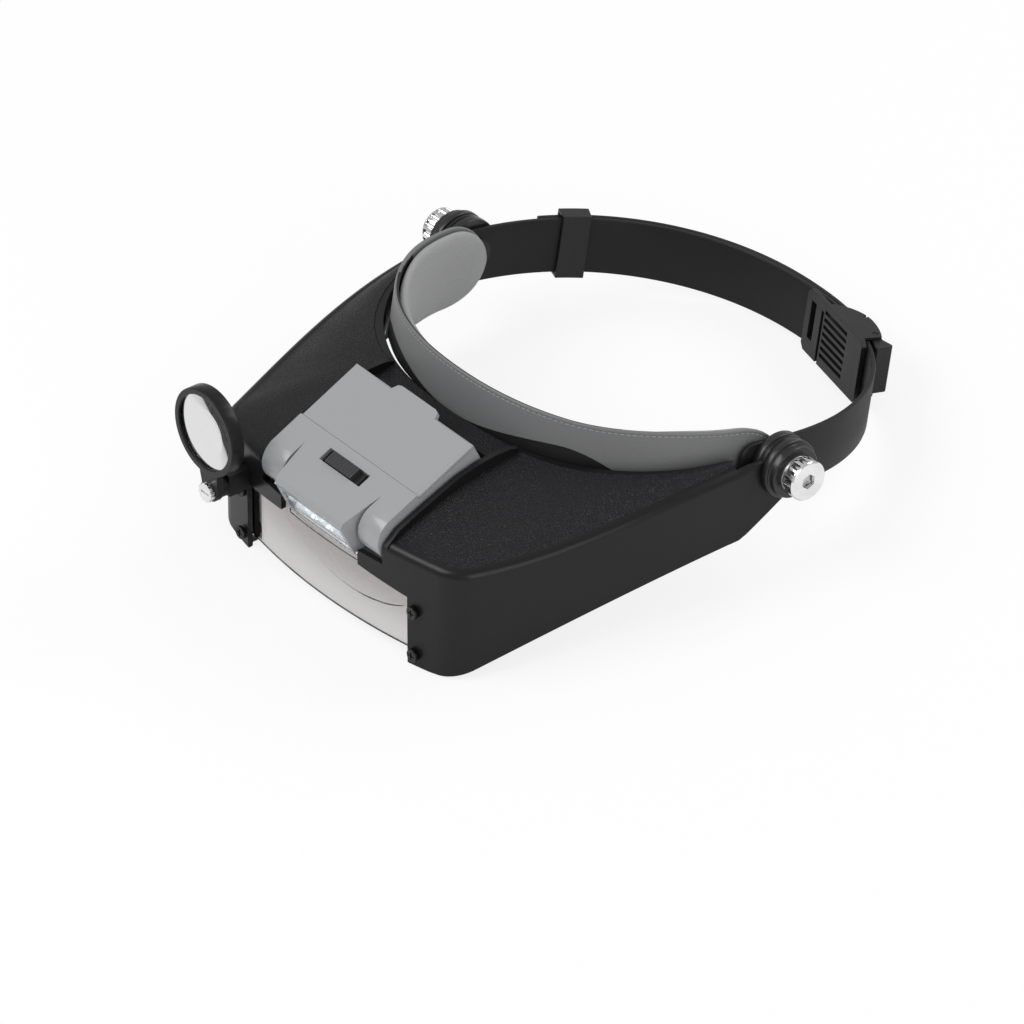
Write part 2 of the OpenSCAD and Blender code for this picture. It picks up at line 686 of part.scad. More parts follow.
// Flat arm that grips the end of the side wall and runs back to the pivot
arm_edge = 1.2;
arm_grip = 0.18;
arm_steps = 5;
arm_start = -asin((loft_start + 2) / side_r);
arm_flat = -asin(boss_r / side_r);
module arm_profile() {
    polygon(concat(
        [for (i = [0:6]) let(y = mix(-loft_start - 3, -1.7 * boss_r, i / 6)) [y, ridge(y) - arm_edge * ease((-y - 20) / 10)]],
        [[-boss_r / 2, boss_r * sin(60)], [0, -boss_r]],
        [for (i = [0:6]) let(y = mix(-1.4 * boss_r, -loft_start - 3, i / 6)) [y, skirt(y) + 0.3 + ease((y + 30) / 14)]]
    ));
    circle(r = boss_r, $fn = 72);
}
module arm() {
    intersection() {
        side_profile(arm_in - 6, arm_out + 1) arm_profile();
        translate([0, 0, -40]) linear_extrude(80) polygon(concat(
            [for (i = [0:arm_steps - 1]) let(k = i / arm_steps, a = mix(arm_start, arm_flat, k))
                side_c + (side_r + mix(arm_grip, 0, k)) * [cos(a), sin(a)]],
            [[arm_out, -boss_r - 0.3], [arm_out, 1.2 * boss_r], [arm_in, 1.2 * boss_r], [arm_in, -boss_r - 0.3]],
            [for (i = [arm_steps - 1:-1:0]) let(k = i / arm_steps, a = mix(arm_start, arm_flat, k))
                side_c + (side_r - mix(wall + arm_grip, arm_out - arm_in, k)) * [cos(a), sin(a)]]
        ));
    }
}

// Raised edges beside the lamp, one on each side of the tray, as seen from the side
module tray_side() {
    front = -(visor_front - 2.6);
    rear = tray_rear + 3.4;
    polygon([
        [front, -8.2], [-118.5, -3.8], [-110, 0], [-101, 3.7], [-93.5, 6.6], [-86, 8.5],
        [-80, 9], [rear, rim_z + rim_rise], [rear, 1.4], [tray_rear, 0.2],
        [-112.6, -17], [-119.5, -19.4], [front, -16]
    ]);
}
module lamp_tray() {
    both_sides() side_profile(tray_in, tray_in + tray_wall) tray_side();
    translate([0, lamp_y, lamp_z]) rotate([lamp_pitch, 0, 0])
        block([-tray_in - 1, 9.2, -lamp_low - tray_floor_gap - 1.6],
            [tray_in + 1, lamp_rear + 0.6, -lamp_low - tray_floor_gap]);
    block([-tray_in - 1, tray_rear, 0.2], [tray_in + 1, tray_rear + wall, rim_z + rim_rise - 1]);
}
module flip_lugs() both_sides() side_profile(flip_lug_in, flip_lug_in + flip_lug_t) polygon([
    [flip_y - flip_lug_r, flip_z - flip_lug_r], [flip_y + flip_lug_r, flip_z - flip_lug_r],
    [flip_y + flip_lug_r, flip_lug_top + flip_lug_rise], [flip_y - flip_lug_r, flip_lug_top - flip_lug_rise]
]);

module visor_hood() color("#1a1a1c") in_visor() difference() {
    union() {
        difference() {
            hood_skin();
            front_profile(-visor_front - 4, -visor_front + 11.5) polygon([
                [-window_half_w, -70], [-window_half_w, -window_top], [-lip_gap_half, -window_mid_top],
                [-lip_gap_half, 30], [lip_gap_half, 30], [lip_gap_half, -window_mid_top],
                [window_half_w, -window_top], [window_half_w, -70]
            ]);
            block([-tray_in, -visor_front - 4, -lip_top], [tray_in, tray_rear, 40]);
        }
        both_sides() arm();
        lamp_tray();
        flip_lugs();
    }
    for (s = [-1, 1]) for (z = screw_z) bar_y(screw_shaft_r + touch, -visor_front, -110, x = s * screw_x, z = z, n = 24);
    bar_x(bolt_r + running, -arm_out - 1, arm_out + 1);
    bar_x(pin_r, -tray_in - tray_wall - 1, tray_in + tray_wall + 1, y = lamp_y, z = lamp_z, n = 32);
    bar_x(flip_pin_r + running, -50, 50, y = flip_y, z = flip_z, n = 32);
    bar_y(peg_r + touch, -visor_front, -116, x = peg_x, z = peg_z, n = 24);
    foot_cut();
}
// Small flats on which the columns stand
module foot_cut() translate([0, foot_y, foot_z]) rotate([rest_pitch, 0, 0])
    block([-100, -40, -20], [100, 40, 0]);

module bowed_slab(r_out, r_in, z0, z1) translate([front_c[0], front_c[1], z0]) difference() {
    cylinder(r = r_out, h = z1 - z0, $fn = 720);
    translate([0, 0, -1]) cylinder(r = r_in, h = z1 - z0 + 2, $fn = 720);
}
module front_lens() color([0.8, 0.82, 0.82, 0.5]) in_visor() difference() {
    intersection() {
        bowed_slab(lens_out_r, lens_in_r, -lens_tab_low, -lens_top);
        front_profile(-visor_front - 2, -100) {
            difference() {
                translate([-lens_half_w, -lens_low]) square([2 * lens_half_w, lens_low - lens_top]);
                translate([-lens_dip_half, -lens_dip]) square([2 * lens_dip_half, lens_dip]);
            }
            for (s = [-1, 1]) translate([s * (window_half_w + lens_half_w) / 2 + s * 0.4, -lens_tab_low / 2 - lens_top / 2])
                square([lens_half_w - window_half_w - 0.8, lens_tab_low - lens_top], center = true);
        }
    }
    for (s = [-1, 1]) for (z = screw_z) bar_y(screw_shaft_r + touch, -visor_front, -110, x = s * screw_x, z = z, n = 24);
}
module lens_clamps() color("#141415") in_visor() both_sides() difference() {
    intersection() {
        bowed_slab(lens_in_r - touch, lens_in_r - touch - clamp_t, -lens_tab_low, -clamp_top);
        block([window_half_w + touch, -visor_front, -60], [lens_half_w - 0.4, -100, 0]);
    }
    for (z = screw_z) bar_y(screw_shaft_r, -visor_front, -100, x = screw_x, z = z, n = 24);
}
function bow_y(x) = front_c[1] - sqrt(bow_r * bow_r - x * x);
module lens_screws() color("#101011") in_visor() both_sides() for (z = screw_z) {
    y0 = bow_y(screw_x);
    bar_y(screw_shaft_r, y0 - 0.5, y0 + wall + lens_t + clamp_t, x = screw_x, z = z, n = 24);
    difference() {
        bar_y(screw_head_r, y0 - 0.5 - screw_head_t, y0 - 0.5, x = screw_x, z = z, n = 32);
        block([screw_x - 1.4, y0 - 3, z - 0.3], [screw_x + 1.4, y0 - 1.2, z + 0.3]);
        block([screw_x - 0.3, y0 - 3, z - 1.4], [screw_x + 0.3, y0 - 1.2, z + 1.4]);
    }
}

module flip_lens() color([0.8, 0.82, 0.82, 0.5]) in_visor()
    front_profile(flip_y - flip_t / 2, flip_y + flip_t / 2) intersection() {
        translate([-flip_half_w, flip_z - flip_h]) square([2 * flip_half_w, flip_h - flip_bar_r - touch]);
        translate([0, flip_z - flip_h + flip_round]) circle(r = flip_round, $fn = 120);
    }
module flip_hinge_bar() color("#18181a") in_visor() {
    difference() {
        union() {
            bar_x(flip_bar_r, -flip_lug_in + 0.4, flip_lug_in - 0.4, y = flip_y, z = flip_z);
            block([-flip_half_w, flip_y - flip_t / 2 - 1.2, flip_z - flip_bar_r - 2.2],
                [flip_half_w, flip_y + flip_t / 2 + 1.2, flip_z]);
        }
        block([-flip_half_w - 1, flip_y - flip_t / 2 - touch, flip_z - flip_bar_r - 5],
            [flip_half_w + 1, flip_y + flip_t / 2 + touch, flip_z - flip_bar_r]);
    }
    bar_x(flip_pin_r, -flip_lug_in - flip_lug_t, flip_lug_in + flip_lug_t, y = flip_y, z = flip_z, n = 32);
}

// Loupe
module loupe_bracket() color("#111112") in_visor() difference() {
    union() {
        bar_y(bracket_r, bracket_front, bracket_front + 4, x = loupe_pivot_x, z = loupe_pivot_z);
        difference() {
            block([loupe_pivot_x - 4.4, bracket_front + 2.5, loupe_pivot_z - 2.9],
                [loupe_pivot_x + 3.6, -visor_front + 8, loupe_pivot_z + 5]);
            translate([front_c[0], front_c[1], -80]) cylinder(r = bow_r + touch, h = 120, $fn = 720);
        }
        bar_y(peg_r, bracket_front + 5, bow_y(peg_x) + wall, x = peg_x, z = peg_z, n = 24);
    }
    bar_y(loupe_shaft_r + running, bracket_front - 1, bracket_front + 5.4, x = loupe_pivot_x, z = loupe_pivot_z, n = 32);
}
module loupe_frame() color("#121213") in_visor() difference() {
    union() {
        bar_y(loupe_r, loupe_face, loupe_back, x = loupe_x, z = loupe_z, n = 96);
        translate([0, loupe_arm_back, 0]) rotate([90, 0, 0]) linear_extrude(loupe_arm_t) {
            polygon([[loupe_x - loupe_arm_w / 2 - 1.5, loupe_z - loupe_r + 3], [loupe_x + loupe_arm_w / 2 + 1.5, loupe_z - loupe_r + 3],
                [loupe_pivot_x + loupe_arm_w / 2, loupe_pivot_z], [loupe_pivot_x - loupe_arm_w / 2, loupe_pivot_z]]);
            translate([loupe_pivot_x, loupe_pivot_z]) circle(r = loupe_arm_w / 2, $fn = 48);
        }
    }
    bar_y(loupe_bore, loupe_face + loupe_front_t, loupe_back + 1, x = loupe_x, z = loupe_z, n = 96);
    bar_y(loupe_lip, loupe_face - 1, loupe_back + 1, x = loupe_x, z = loupe_z, n = 96);
    bar_y(loupe_shaft_r + running, loupe_face, loupe_back + 1, x = loupe_pivot_x, z = loupe_pivot_z, n = 32);
}
loupe_lens_r = loupe_bore - touch;
loupe_edge = 1.4;
loupe_bulge = 1.1;
loupe_ring_y = loupe_face + loupe_front_t + loupe_edge + 2 * touch;
loupe_cap_r = (loupe_lens_r * loupe_lens_r + loupe_bulge * loupe_bulge) / (2 * loupe_bulge);
module loupe_lens() color([0.85, 0.87, 0.88, 0.5]) in_visor()
    translate([loupe_x, loupe_face + loupe_front_t + touch + loupe_edge / 2, loupe_z]) rotate([90, 0, 0])
    intersection() {
        cylinder(r = loupe_lens_r, h = 20, center = true, $fn = 96);
        translate([0, 0, loupe_edge / 2 + loupe_bulge - loupe_cap_r]) sphere(r = loupe_cap_r, $fn = 180);
        translate([0, 0, -loupe_edge / 2 - loupe_bulge + loupe_cap_r]) sphere(r = loupe_cap_r, $fn = 180);
    }
module loupe_snap_ring() color("#1d1d1f") in_visor() difference() {
    bar_y(loupe_bore - touch, loupe_ring_y, loupe_ring_y + 0.9, x = loupe_x, z = loupe_z, n = 96);
    bar_y(loupe_lip, loupe_face, loupe_back, x = loupe_x, z = loupe_z, n = 96);
}
module loupe_screw() color("gainsboro") in_visor() {
    y1 = loupe_screw_back;
    difference() {
        bar_y(loupe_screw_r, loupe_screw_front, y1, x = loupe_pivot_x, z = loupe_pivot_z, n = 60);
        for (i = [0:11]) translate([loupe_pivot_x, 0, loupe_pivot_z]) rotate([0, i * 30, 0])
            bar_y(0.5, y1 - 3, y1 + 1, x = loupe_screw_r + 0.15, n = 16);
        block([loupe_pivot_x - 2.2, y1 - 3, loupe_pivot_z - 0.35], [loupe_pivot_x + 2.2, y1 - 1.2, loupe_pivot_z + 0.35]);
    }
    bar_y(loupe_shaft_r, y1, bracket_front + 4.8, x = loupe_pivot_x, z = loupe_pivot_z, n = 32);
}

// Lamp

module lamp_block_profile() {
    circle(r = lobe_r, $fn = 96);
    translate([0, -lamp_low]) square([lamp_rear, lamp_low + lamp_top]);
}
module head_profile() polygon([
    [cavity_rear + 3, lamp_top], [-head_front + 1.6, lamp_top], [-head_front, lamp_top - 1.4],
    [-head_front, -lamp_low], [cavity_rear + 3, -lamp_low]
]);
module lamp_case() color("#9a9c9f") in_lamp() difference() {
    union() {
        both_sides() side_profile(head_rear_half_w - 0.6, lamp_half_w) lamp_block_profile();
        side_profile(-lamp_half_w + 1, lamp_half_w - 1) circle(r = lobe_r - 2, $fn = 72);
        block([-lamp_half_w + 1, 8.6, -lamp_low], [lamp_half_w - 1, lamp_rear, lamp_top]);
        intersection() {
            side_profile(-lamp_half_w, lamp_half_w) head_profile();
            translate([0, 0, -20]) linear_extrude(40) polygon([
                [-head_half_w, -head_front - 1], [head_half_w, -head_front - 1],
                [head_rear_half_w, 9], [head_rear_half_w, 12], [-head_rear_half_w, 12], [-head_rear_half_w, 9]
            ]);
        }
    }
    block([-lamp_half_w - 1, cover_y, lamp_top - cover_t - touch], [lamp_half_w + 1, lamp_rear + 1, lamp_top + 1]);
    block([-bay_half, bay_front, -lamp_low - 1], [bay_half, lamp_rear - lamp_wall, lamp_top + 1]);
    block([-cavity_half, -head_front + lamp_wall, -lamp_low - 1], [cavity_half, cavity_rear, lamp_top - 1.8]);
    block([-cavity_half, -head_front - 1, -lamp_low - 1], [cavity_half, -head_front + lamp_wall + 1, pane_top + touch]);
    block([-slot_half, slot_y0, 0], [slot_half, slot_y1, lamp_top + 1]);
    bar_x(pin_r + running, -lamp_half_w - 1, -pin_in, n = 32);
    bar_x(pin_r + running, pin_in, lamp_half_w + 1, n = 32);
    for (s = [-1, 1]) translate([s * case_screw_x, lamp_rear - 4, -lamp_low - 1]) cylinder(r = 0.9, h = 8, $fn = 24);
    both_sides() block([rib_x - slip / 2, cover_y, lamp_top - cover_t - rib_h - 0.4],
        [rib_x + rib_t + slip / 2, lamp_rear + 1, lamp_top]);
    base_recess(0);
}
// The base plate's recess, with a gap all round the plate
module base_recess(gap) {
    block([-29.4 + gap, bay_front + gap, -lamp_low - (gap > 0 ? 0 : 1)],
        [29.4 - gap, lamp_rear - lamp_wall / 2 - gap, -lamp_low + base_t]);
    block([-cavity_half + gap, -head_front - (gap > 0 ? 0 : 1), -lamp_low - (gap > 0 ? 0 : 1)],
        [cavity_half - gap, bay_front + 1, -lamp_low + base_t]);
}
module lamp_base() color("#8b8d90") in_lamp() difference() {
    base_recess(touch);
    for (s = [-1, 1]) translate([s * case_screw_x, lamp_rear - 4, -lamp_low - 1]) cylinder(r = 0.9, h = 8, $fn = 24);
}
module case_screws() color("silver") in_lamp()
    for (s = [-1, 1]) translate([s * case_screw_x, lamp_rear - 4, -lamp_low + 0.2]) difference() {
        cylinder(r = 0.85, h = 5.4, $fn = 24);
        block([-1, -0.2, -0.1], [1, 0.2, 0.4]);
    }

tab_half = 11.4;
tab_len = 2.4;
module battery_cover() color("#9ea0a3") in_lamp() {
    z0 = lamp_top - cover_t;
    difference() {
        union() {
            side_profile(-lamp_half_w, lamp_half_w) polygon([
                [cover_y + touch, z0], [cover_y + touch, lamp_top], [lamp_rear - 0.8, lamp_top],
                [lamp_rear, lamp_top - 0.8], [lamp_rear, z0]
            ]);
            translate([0, 0, z0]) linear_extrude(cover_t) polygon([
                [-tab_half, lamp_rear - 1], [-tab_half, lamp_rear], [-tab_half + 1, lamp_rear + tab_len * 0.8],
                [-tab_half + 2.6, lamp_rear + tab_len], [tab_half - 2.6, lamp_rear + tab_len],
                [tab_half - 1, lamp_rear + tab_len * 0.8], [tab_half, lamp_rear], [tab_half, lamp_rear - 1]
            ]);
        }
        for (s = [-1, 1]) translate([s * lamp_half_w, 0, lamp_top]) rotate([0, 45, 0])
            block([-0.7, 0, -0.7], [0.7, 60, 0.7]);
    }
    both_sides() block([rib_x, cover_y + 1, z0 - rib_h], [rib_x + rib_t, lamp_rear - 0.4, z0]);
}
module lamp_hinge_pins() color("silver") in_visor() both_sides()
    bar_x(pin_r, pin_in + 0.4, tray_in + tray_wall, y = lamp_y, z = lamp_z, n = 32);

button_x = -0.9;
button_half = 6.8;
module switch_button() color("#3a3a3c") in_lamp() {
    z_wall = lamp_top - 1.8;
    block([button_x - button_half - 1.8, slot_y0 - 1.1, z_wall - 1.3], [button_x + button_half + 1.8, slot_y1 + 1.1, z_wall - touch]);
    difference() {
        block([button_x - button_half, slot_y0 + 0.3, z_wall - 1], [button_x + button_half, slot_y1 - 0.3, lamp_top + 0.9]);
        for (i = [0:8]) translate([button_x - button_half + 1.2 + i * 1.4, 0, lamp_top + 0.9]) rotate([0, 45, 0])
            block([-0.36, 0, -0.36], [0.36, 20, 0.36]);
    }
}
module switch_body() color("#b8b8b8") in_lamp()
    block([-12, slot_y0 - 1.4, 0.6], [12, cavity_rear - touch, lamp_top - 3.3]);
module led_board() color("darkgreen") in_lamp()
    block([-cavity_half + touch, -1.6, -lamp_low + base_t], [cavity_half - touch, 0, lamp_top - 2.2]);
module leds() color("white") in_lamp() for (s = [-1, 1]) {
    bar_y(led_r, -5, -1.6, x = s * led_x, z = 0, n = 32);
    intersection() {
        translate([s * led_x, -5, 0]) sphere(r = led_r, $fn = 40);
        block([-20, -9, -9], [20, -5, 9]);
    }
}
module reflector() color("lightgray") in_lamp() difference() {
    block([-cavity_half + touch, -9.4, -lamp_low + base_t], [cavity_half - touch, -2, pane_top]);
    for (s = [-1, 1]) {
        bar_y(led_r + 0.15, -10, -1, x = s * led_x, z = 0, n = 32);
        translate([s * led_x, -9.6, 0]) rotate([-90, 0, 0]) cylinder(r1 = 3.9, r2 = led_r + 0.15, h = 5, $fn = 48);
    }
}
module lamp_window() color([0.9, 0.95, 1, 0.5]) in_lamp()
    block([-pane_half, -head_front + 0.05, -lamp_low + base_t + touch], [pane_half, -head_front + 1.4, pane_top]);

module cell(x0, dir) translate([x0, 0, 0]) mirror([dir < 0 ? 1 : 0, 0, 0]) {
    bar_x(cell_r, -cell_len, -0.8, n = 60);
    bar_x(1.9, -1, 0, n = 32);
}
module battery_cells() color("#4a6a8a") in_lamp() {
    translate([0, cell_y[0], cell_z]) cell(cell_x, 1);
    translate([0, cell_y[1], cell_z]) cell(-cell_x, -1);
}
module contact_plates() color("silver") in_lamp() both_sides() for (y = cell_y)
    block([bay_half - 0.7, y - 4.2, cell_z - 4.2], [bay_half - 0.1, y + 4.2, cell_z + 4.2]);

spring_turns = 4;
spring_rings = 10;
function spring_pt(k, x0, x1, s) =
    let(a = 360 * k, r = mix(3.6, 2.6, k / spring_turns))
    [mix(x0, x1, k / spring_turns), r * cos(a), s * r * sin(a)];
module coil(x0, x1, s) {
    wire = 0.35;
    n = spring_turns * spring_rings;
    loft([for (i = [0:n])
        let(k = i / spring_rings, p = spring_pt(k, x0, x1, s), q = spring_pt(k + 0.01, x0, x1, s))
        let(t = unit(q - p), b = unit(cross(t, [1, 0, 0])), c = cross(t, b))
        [for (j = [0:5]) p + wire * (cos(60 * j) * b + s * sin(60 * j) * c)]]);
}
module contact_springs() color("silver") in_lamp() {
    gap = bay_half - 0.7 - 0.4;
    far = cell_len - cell_x + 0.45;
    translate([0, cell_y[0], cell_z]) coil(-gap, -far, 1);
    translate([0, cell_y[1], cell_z]) mirror([1, 0, 0]) coil(-gap, -far, 1);
}

brow_band();
forehead_pad();
strap_left();
strap_right();
strap_keeper();
buckle_plate();
buckle_housing();
release_lever();
lever_pin();
pivot_bolts();
friction_discs();
pivot_collars();
knob_washers();
knob_left();
knob_right();
visor_hood();
front_lens();
lens_screws();
lens_clamps();
flip_lens();
flip_hinge_bar();
loupe_bracket();
loupe_frame();
loupe_lens();
loupe_snap_ring();
loupe_screw();
lamp_case();
lamp_base();
battery_cover();
lamp_hinge_pins();
case_screws();
switch_button();
switch_body();
led_board();
leds();
reflector();
lamp_window();
battery_cells();
contact_plates();
contact_springs();
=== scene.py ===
# %% [markdown]
# # A lighted headband magnifier, dressed cell by cell
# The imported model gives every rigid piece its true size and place, so it is loaded first and
# never moved. Blender adds what the eye looks for: soft leatherette, grained black plastic,
# softened edges, clear lenses and a quiet studio.

# %% Load the frame
import json
import math

import bmesh
import bpy
from mathutils import Matrix, Vector


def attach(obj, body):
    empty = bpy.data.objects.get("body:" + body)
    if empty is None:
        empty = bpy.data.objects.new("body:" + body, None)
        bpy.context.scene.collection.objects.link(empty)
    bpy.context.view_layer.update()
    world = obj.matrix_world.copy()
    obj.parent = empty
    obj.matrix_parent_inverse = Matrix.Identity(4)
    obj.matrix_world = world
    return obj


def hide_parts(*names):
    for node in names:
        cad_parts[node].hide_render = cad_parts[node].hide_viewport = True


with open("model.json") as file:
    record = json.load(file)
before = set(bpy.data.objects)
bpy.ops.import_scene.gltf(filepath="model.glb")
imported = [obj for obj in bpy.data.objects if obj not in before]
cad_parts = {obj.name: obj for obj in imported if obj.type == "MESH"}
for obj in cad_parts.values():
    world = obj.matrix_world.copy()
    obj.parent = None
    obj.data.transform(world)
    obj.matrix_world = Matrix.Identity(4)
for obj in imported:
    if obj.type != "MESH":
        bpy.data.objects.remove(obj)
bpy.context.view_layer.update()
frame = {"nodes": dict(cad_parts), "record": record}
MM = 0.001
scene = bpy.context.scene

# %% [markdown]
# ## Three working frames
# The visor rests tipped a few degrees forward, the headband leans back from it, and the lamp
# slopes on the visor's roof. The leans could be typed in, but the joints in the record hold
# them as axes, so each frame is read from there. Every later piece is drawn in millimetres in
# the frame that suits it.

# %% Visor, headband and lamp frames
JOINTS = {j["name"]: j for j in frame["record"]["behaviour"]["joints"]}


def place_of(joint):
    return Vector(JOINTS[joint]["pos_m"])


def tip_about_x(y_part, z_part):
    return Matrix.Rotation(math.atan2(z_part, y_part), 4, "X")


swing = JOINTS["loupe_swing"]["axis"]
up = JOINTS["keeper_slide"]["axis"]
rear = JOINTS["battery_cover_slide"]["axis"]
PIVOT = place_of("visor_tilt")
VISOR = Matrix.Translation(PIVOT) @ tip_about_x(swing[1], swing[2])
BAND = Matrix.Translation(PIVOT) @ tip_about_x(up[2], -up[1])
LAMP = Matrix.Translation(place_of("lamp_tilt")) @ tip_about_x(rear[1], rear[2])
print("visor leans", round(math.degrees(math.atan2(swing[2], swing[1])), 2), "degrees")

# %% [markdown]
# ## Camera
# The photograph is taken from far away with a long lens, from the wearer's left and well above,
# so parallel edges stay nearly parallel. An orthographic camera would lose all narrowing, so a
# long lens at the matching distance is used.


# %% Put something into the scene
def add_object(name, data):
    obj = bpy.data.objects.new(name, data)
    scene.collection.objects.link(obj)
    return obj


# %% Camera at the photograph's angle
CAMERA_AZIMUTH = math.radians(55.61)
CAMERA_ELEVATION = math.radians(37.26)
CAMERA_ROLL = math.radians(-6.28)
CAMERA_DISTANCE = 5.2625
CAMERA_LENS = 562.5
CAMERA_AIM = Vector((0.00064, -0.02142, -0.00251))

back = Vector((
    math.sin(CAMERA_AZIMUTH) * math.cos(CAMERA_ELEVATION),
    -math.cos(CAMERA_AZIMUTH) * math.cos(CAMERA_ELEVATION),
    math.sin(CAMERA_ELEVATION),
))
right = Vector((math.cos(CAMERA_AZIMUTH), math.sin(CAMERA_AZIMUTH), 0))
above = back.cross(right)
level = Matrix((right, above, back)).transposed()
camera = add_object("camera", bpy.data.cameras.new("camera"))
camera.data.lens = CAMERA_LENS
camera.data.sensor_width = 36
camera.data.clip_end = 100
camera.matrix_world = (
    Matrix.Translation(CAMERA_AIM + back * CAMERA_DISTANCE)
    @ level.to_4x4()
    @ Matrix.Rotation(CAMERA_ROLL, 4, "Z")
)
scene.camera = camera
print("camera is", CAMERA_DISTANCE, "m away")

# %% [markdown]
# ## Studio
# The background is plain white. A white floor under strong light would burn out the shadow, so
# most of its whiteness comes from its colour, and rays from the camera and through glass see
# the rest as plain white. Soft lamps and an even sky light the black plastic gently.


# %% Mask of the rays that are seen
def math_node(tree, operation, *values):
    node = tree.nodes.new("ShaderNodeMath")
    node.operation = operation
    for slot, value in zip(node.inputs, values):
        if isinstance(value, (int, float)):
            slot.default_value = value
        else:
            tree.links.new(value, slot)
    return node.outputs[0]


def seen_rays(tree):
    path = tree.nodes.new("ShaderNodeLightPath").outputs
    return math_node(tree, "MAXIMUM", path["Is Camera Ray"], path["Is Transmission Ray"])


# %% Sky
SKY_LIGHT = 0.52
world = bpy.data.worlds.new("studio")
scene.world = world
world.use_nodes = True
sky = world.node_tree
sky.nodes.clear()
pick = sky.nodes.new("ShaderNodeMixShader")
sky_out = sky.nodes.new("ShaderNodeOutputWorld")
sky.links.new(seen_rays(sky), pick.inputs[0])
for socket, strength in ((1, SKY_LIGHT), (2, 1)):
    plain = sky.nodes.new("ShaderNodeBackground")
    plain.inputs["Color"].default_value = (1, 1, 1, 1)
    plain.inputs["Strength"].default_value = strength
    sky.links.new(plain.outputs[0], pick.inputs[socket])
sky.links.new(pick.outputs[0], sky_out.inputs[0])
print("sky light", SKY_LIGHT)

# %% Floor
FLOOR_HALF = 12
FLOOR_WHITE = 0.9
SHOWN_WHITE = 0.82
mesh = bpy.data.meshes.new("floor")
square = ((-1, -1), (1, -1), (1, 1), (-1, 1))
corners = [(FLOOR_HALF * x, FLOOR_HALF * y, 0) for x, y in square]
mesh.from_pydata(corners, [], [(0, 1, 2, 3)])
floor = add_object("floor", mesh)
floor_paint = bpy.data.materials.new("floor_white")
floor_paint.use_nodes = True
tree = floor_paint.node_tree
tree.nodes.clear()
matt = tree.nodes.new("ShaderNodeBsdfDiffuse")
matt.inputs["Color"].default_value = (FLOOR_WHITE, FLOOR_WHITE, FLOOR_WHITE, 1)
glow = tree.nodes.new("ShaderNodeEmission")
glow.inputs["Strength"].default_value = 1
blend = tree.nodes.new("ShaderNodeMixShader")
out = tree.nodes.new("ShaderNodeOutputMaterial")
tree.links.new(math_node(tree, "MULTIPLY", seen_rays(tree), SHOWN_WHITE), blend.inputs[0])
tree.links.new(matt.outputs[0], blend.inputs[1])
tree.links.new(glow.outputs[0], blend.inputs[2])
tree.links.new(blend.outputs[0], out.inputs[0])
floor.data.materials.append(floor_paint)
print("floor is", 2 * FLOOR_HALF, "m wide")

# %% Soft lamps
LAMP_AIM = Vector((0, 0, 0.02))


def softbox(name, size, power, place):
    lamp = bpy.data.lights.new(name, "AREA")
    lamp.shape = "RECTANGLE"
    lamp.size, lamp.size_y = size
    lamp.energy = power
    holder = add_object(name, lamp)
    holder.location = place
    toward = LAMP_AIM - Vector(place)
    holder.rotation_euler = toward.to_track_quat("-Z", "Y").to_euler()


softbox("key_softbox", (0.9, 0.7), 9, (-0.45, -0.75, 1.15))
softbox("back_softbox", (1.1, 0.5), 6, (0.25, 1.05, 0.85))
softbox("side_softbox", (0.5, 0.9), 3.2, (1.15, -0.25, 0.55))
scene.view_settings.view_transform = "Standard"
print("lamps:", len(bpy.data.lights))

# %% [markdown]
# ## Shared surface effects
# Several finishes share the same small effects: a moulded grain, a leather pebble and the faint
# smudges that hands leave. Pictures of such surfaces could show repeats, so noise makes them.
# Each effect is a node group that puts out only masks and heights, and each material blends
# them in its own measure.


# %% Node helpers
def effect_group(name, inputs, outputs):
    made = bpy.data.node_groups.new(name, "ShaderNodeTree")
    for label, value in inputs.items():
        socket = made.interface.new_socket(label, in_out="INPUT", socket_type="NodeSocketFloat")
        socket.default_value = value
    for label in outputs:
        made.interface.new_socket(label, in_out="OUTPUT", socket_type="NodeSocketFloat")
    return made, made.nodes.new("NodeGroupInput"), made.nodes.new("NodeGroupOutput")


def smooth_step(tree, value, low, high):
    node = tree.nodes.new("ShaderNodeMapRange")
    node.interpolation_type = "SMOOTHSTEP"
    tree.links.new(value, node.inputs["Value"])
    node.inputs["From Min"].default_value = low
    node.inputs["From Max"].default_value = high
    return node.outputs["Result"]


def coordinates(tree):
    return tree.nodes.new("ShaderNodeTexCoord").outputs["Object"]


def noise_node(tree, scale, detail, source=None):
    node = tree.nodes.new("ShaderNodeTexNoise")
    node.inputs["Detail"].default_value = detail
    tree.links.new(source or coordinates(tree), node.inputs["Vector"])
    if isinstance(scale, (int, float)):
        node.inputs["Scale"].default_value = scale
    else:
        tree.links.new(scale, node.inputs["Scale"])
    return node.outputs["Fac"]


# %% Moulded grain
# Fine even bumps, as a spark-finished mould leaves on plastic.
COARSE_SCALE = 0.31
COARSE_HEIGHT = 0.5
FLECK_FROM, FLECK_TO = 0.52, 0.72
grain, g_in, g_out = effect_group("moulded_grain", {"Scale": 2500}, ["Height", "Fleck"])
fine = noise_node(grain, g_in.outputs["Scale"], 3)
coarse_scale = math_node(grain, "MULTIPLY", g_in.outputs["Scale"], COARSE_SCALE)
coarse = noise_node(grain, coarse_scale, 2)
height = math_node(grain, "MULTIPLY_ADD", coarse, COARSE_HEIGHT, fine)
grain.links.new(height, g_out.inputs["Height"])
grain.links.new(smooth_step(grain, fine, FLECK_FROM, FLECK_TO), g_out.inputs["Fleck"])
print("made", grain.name)

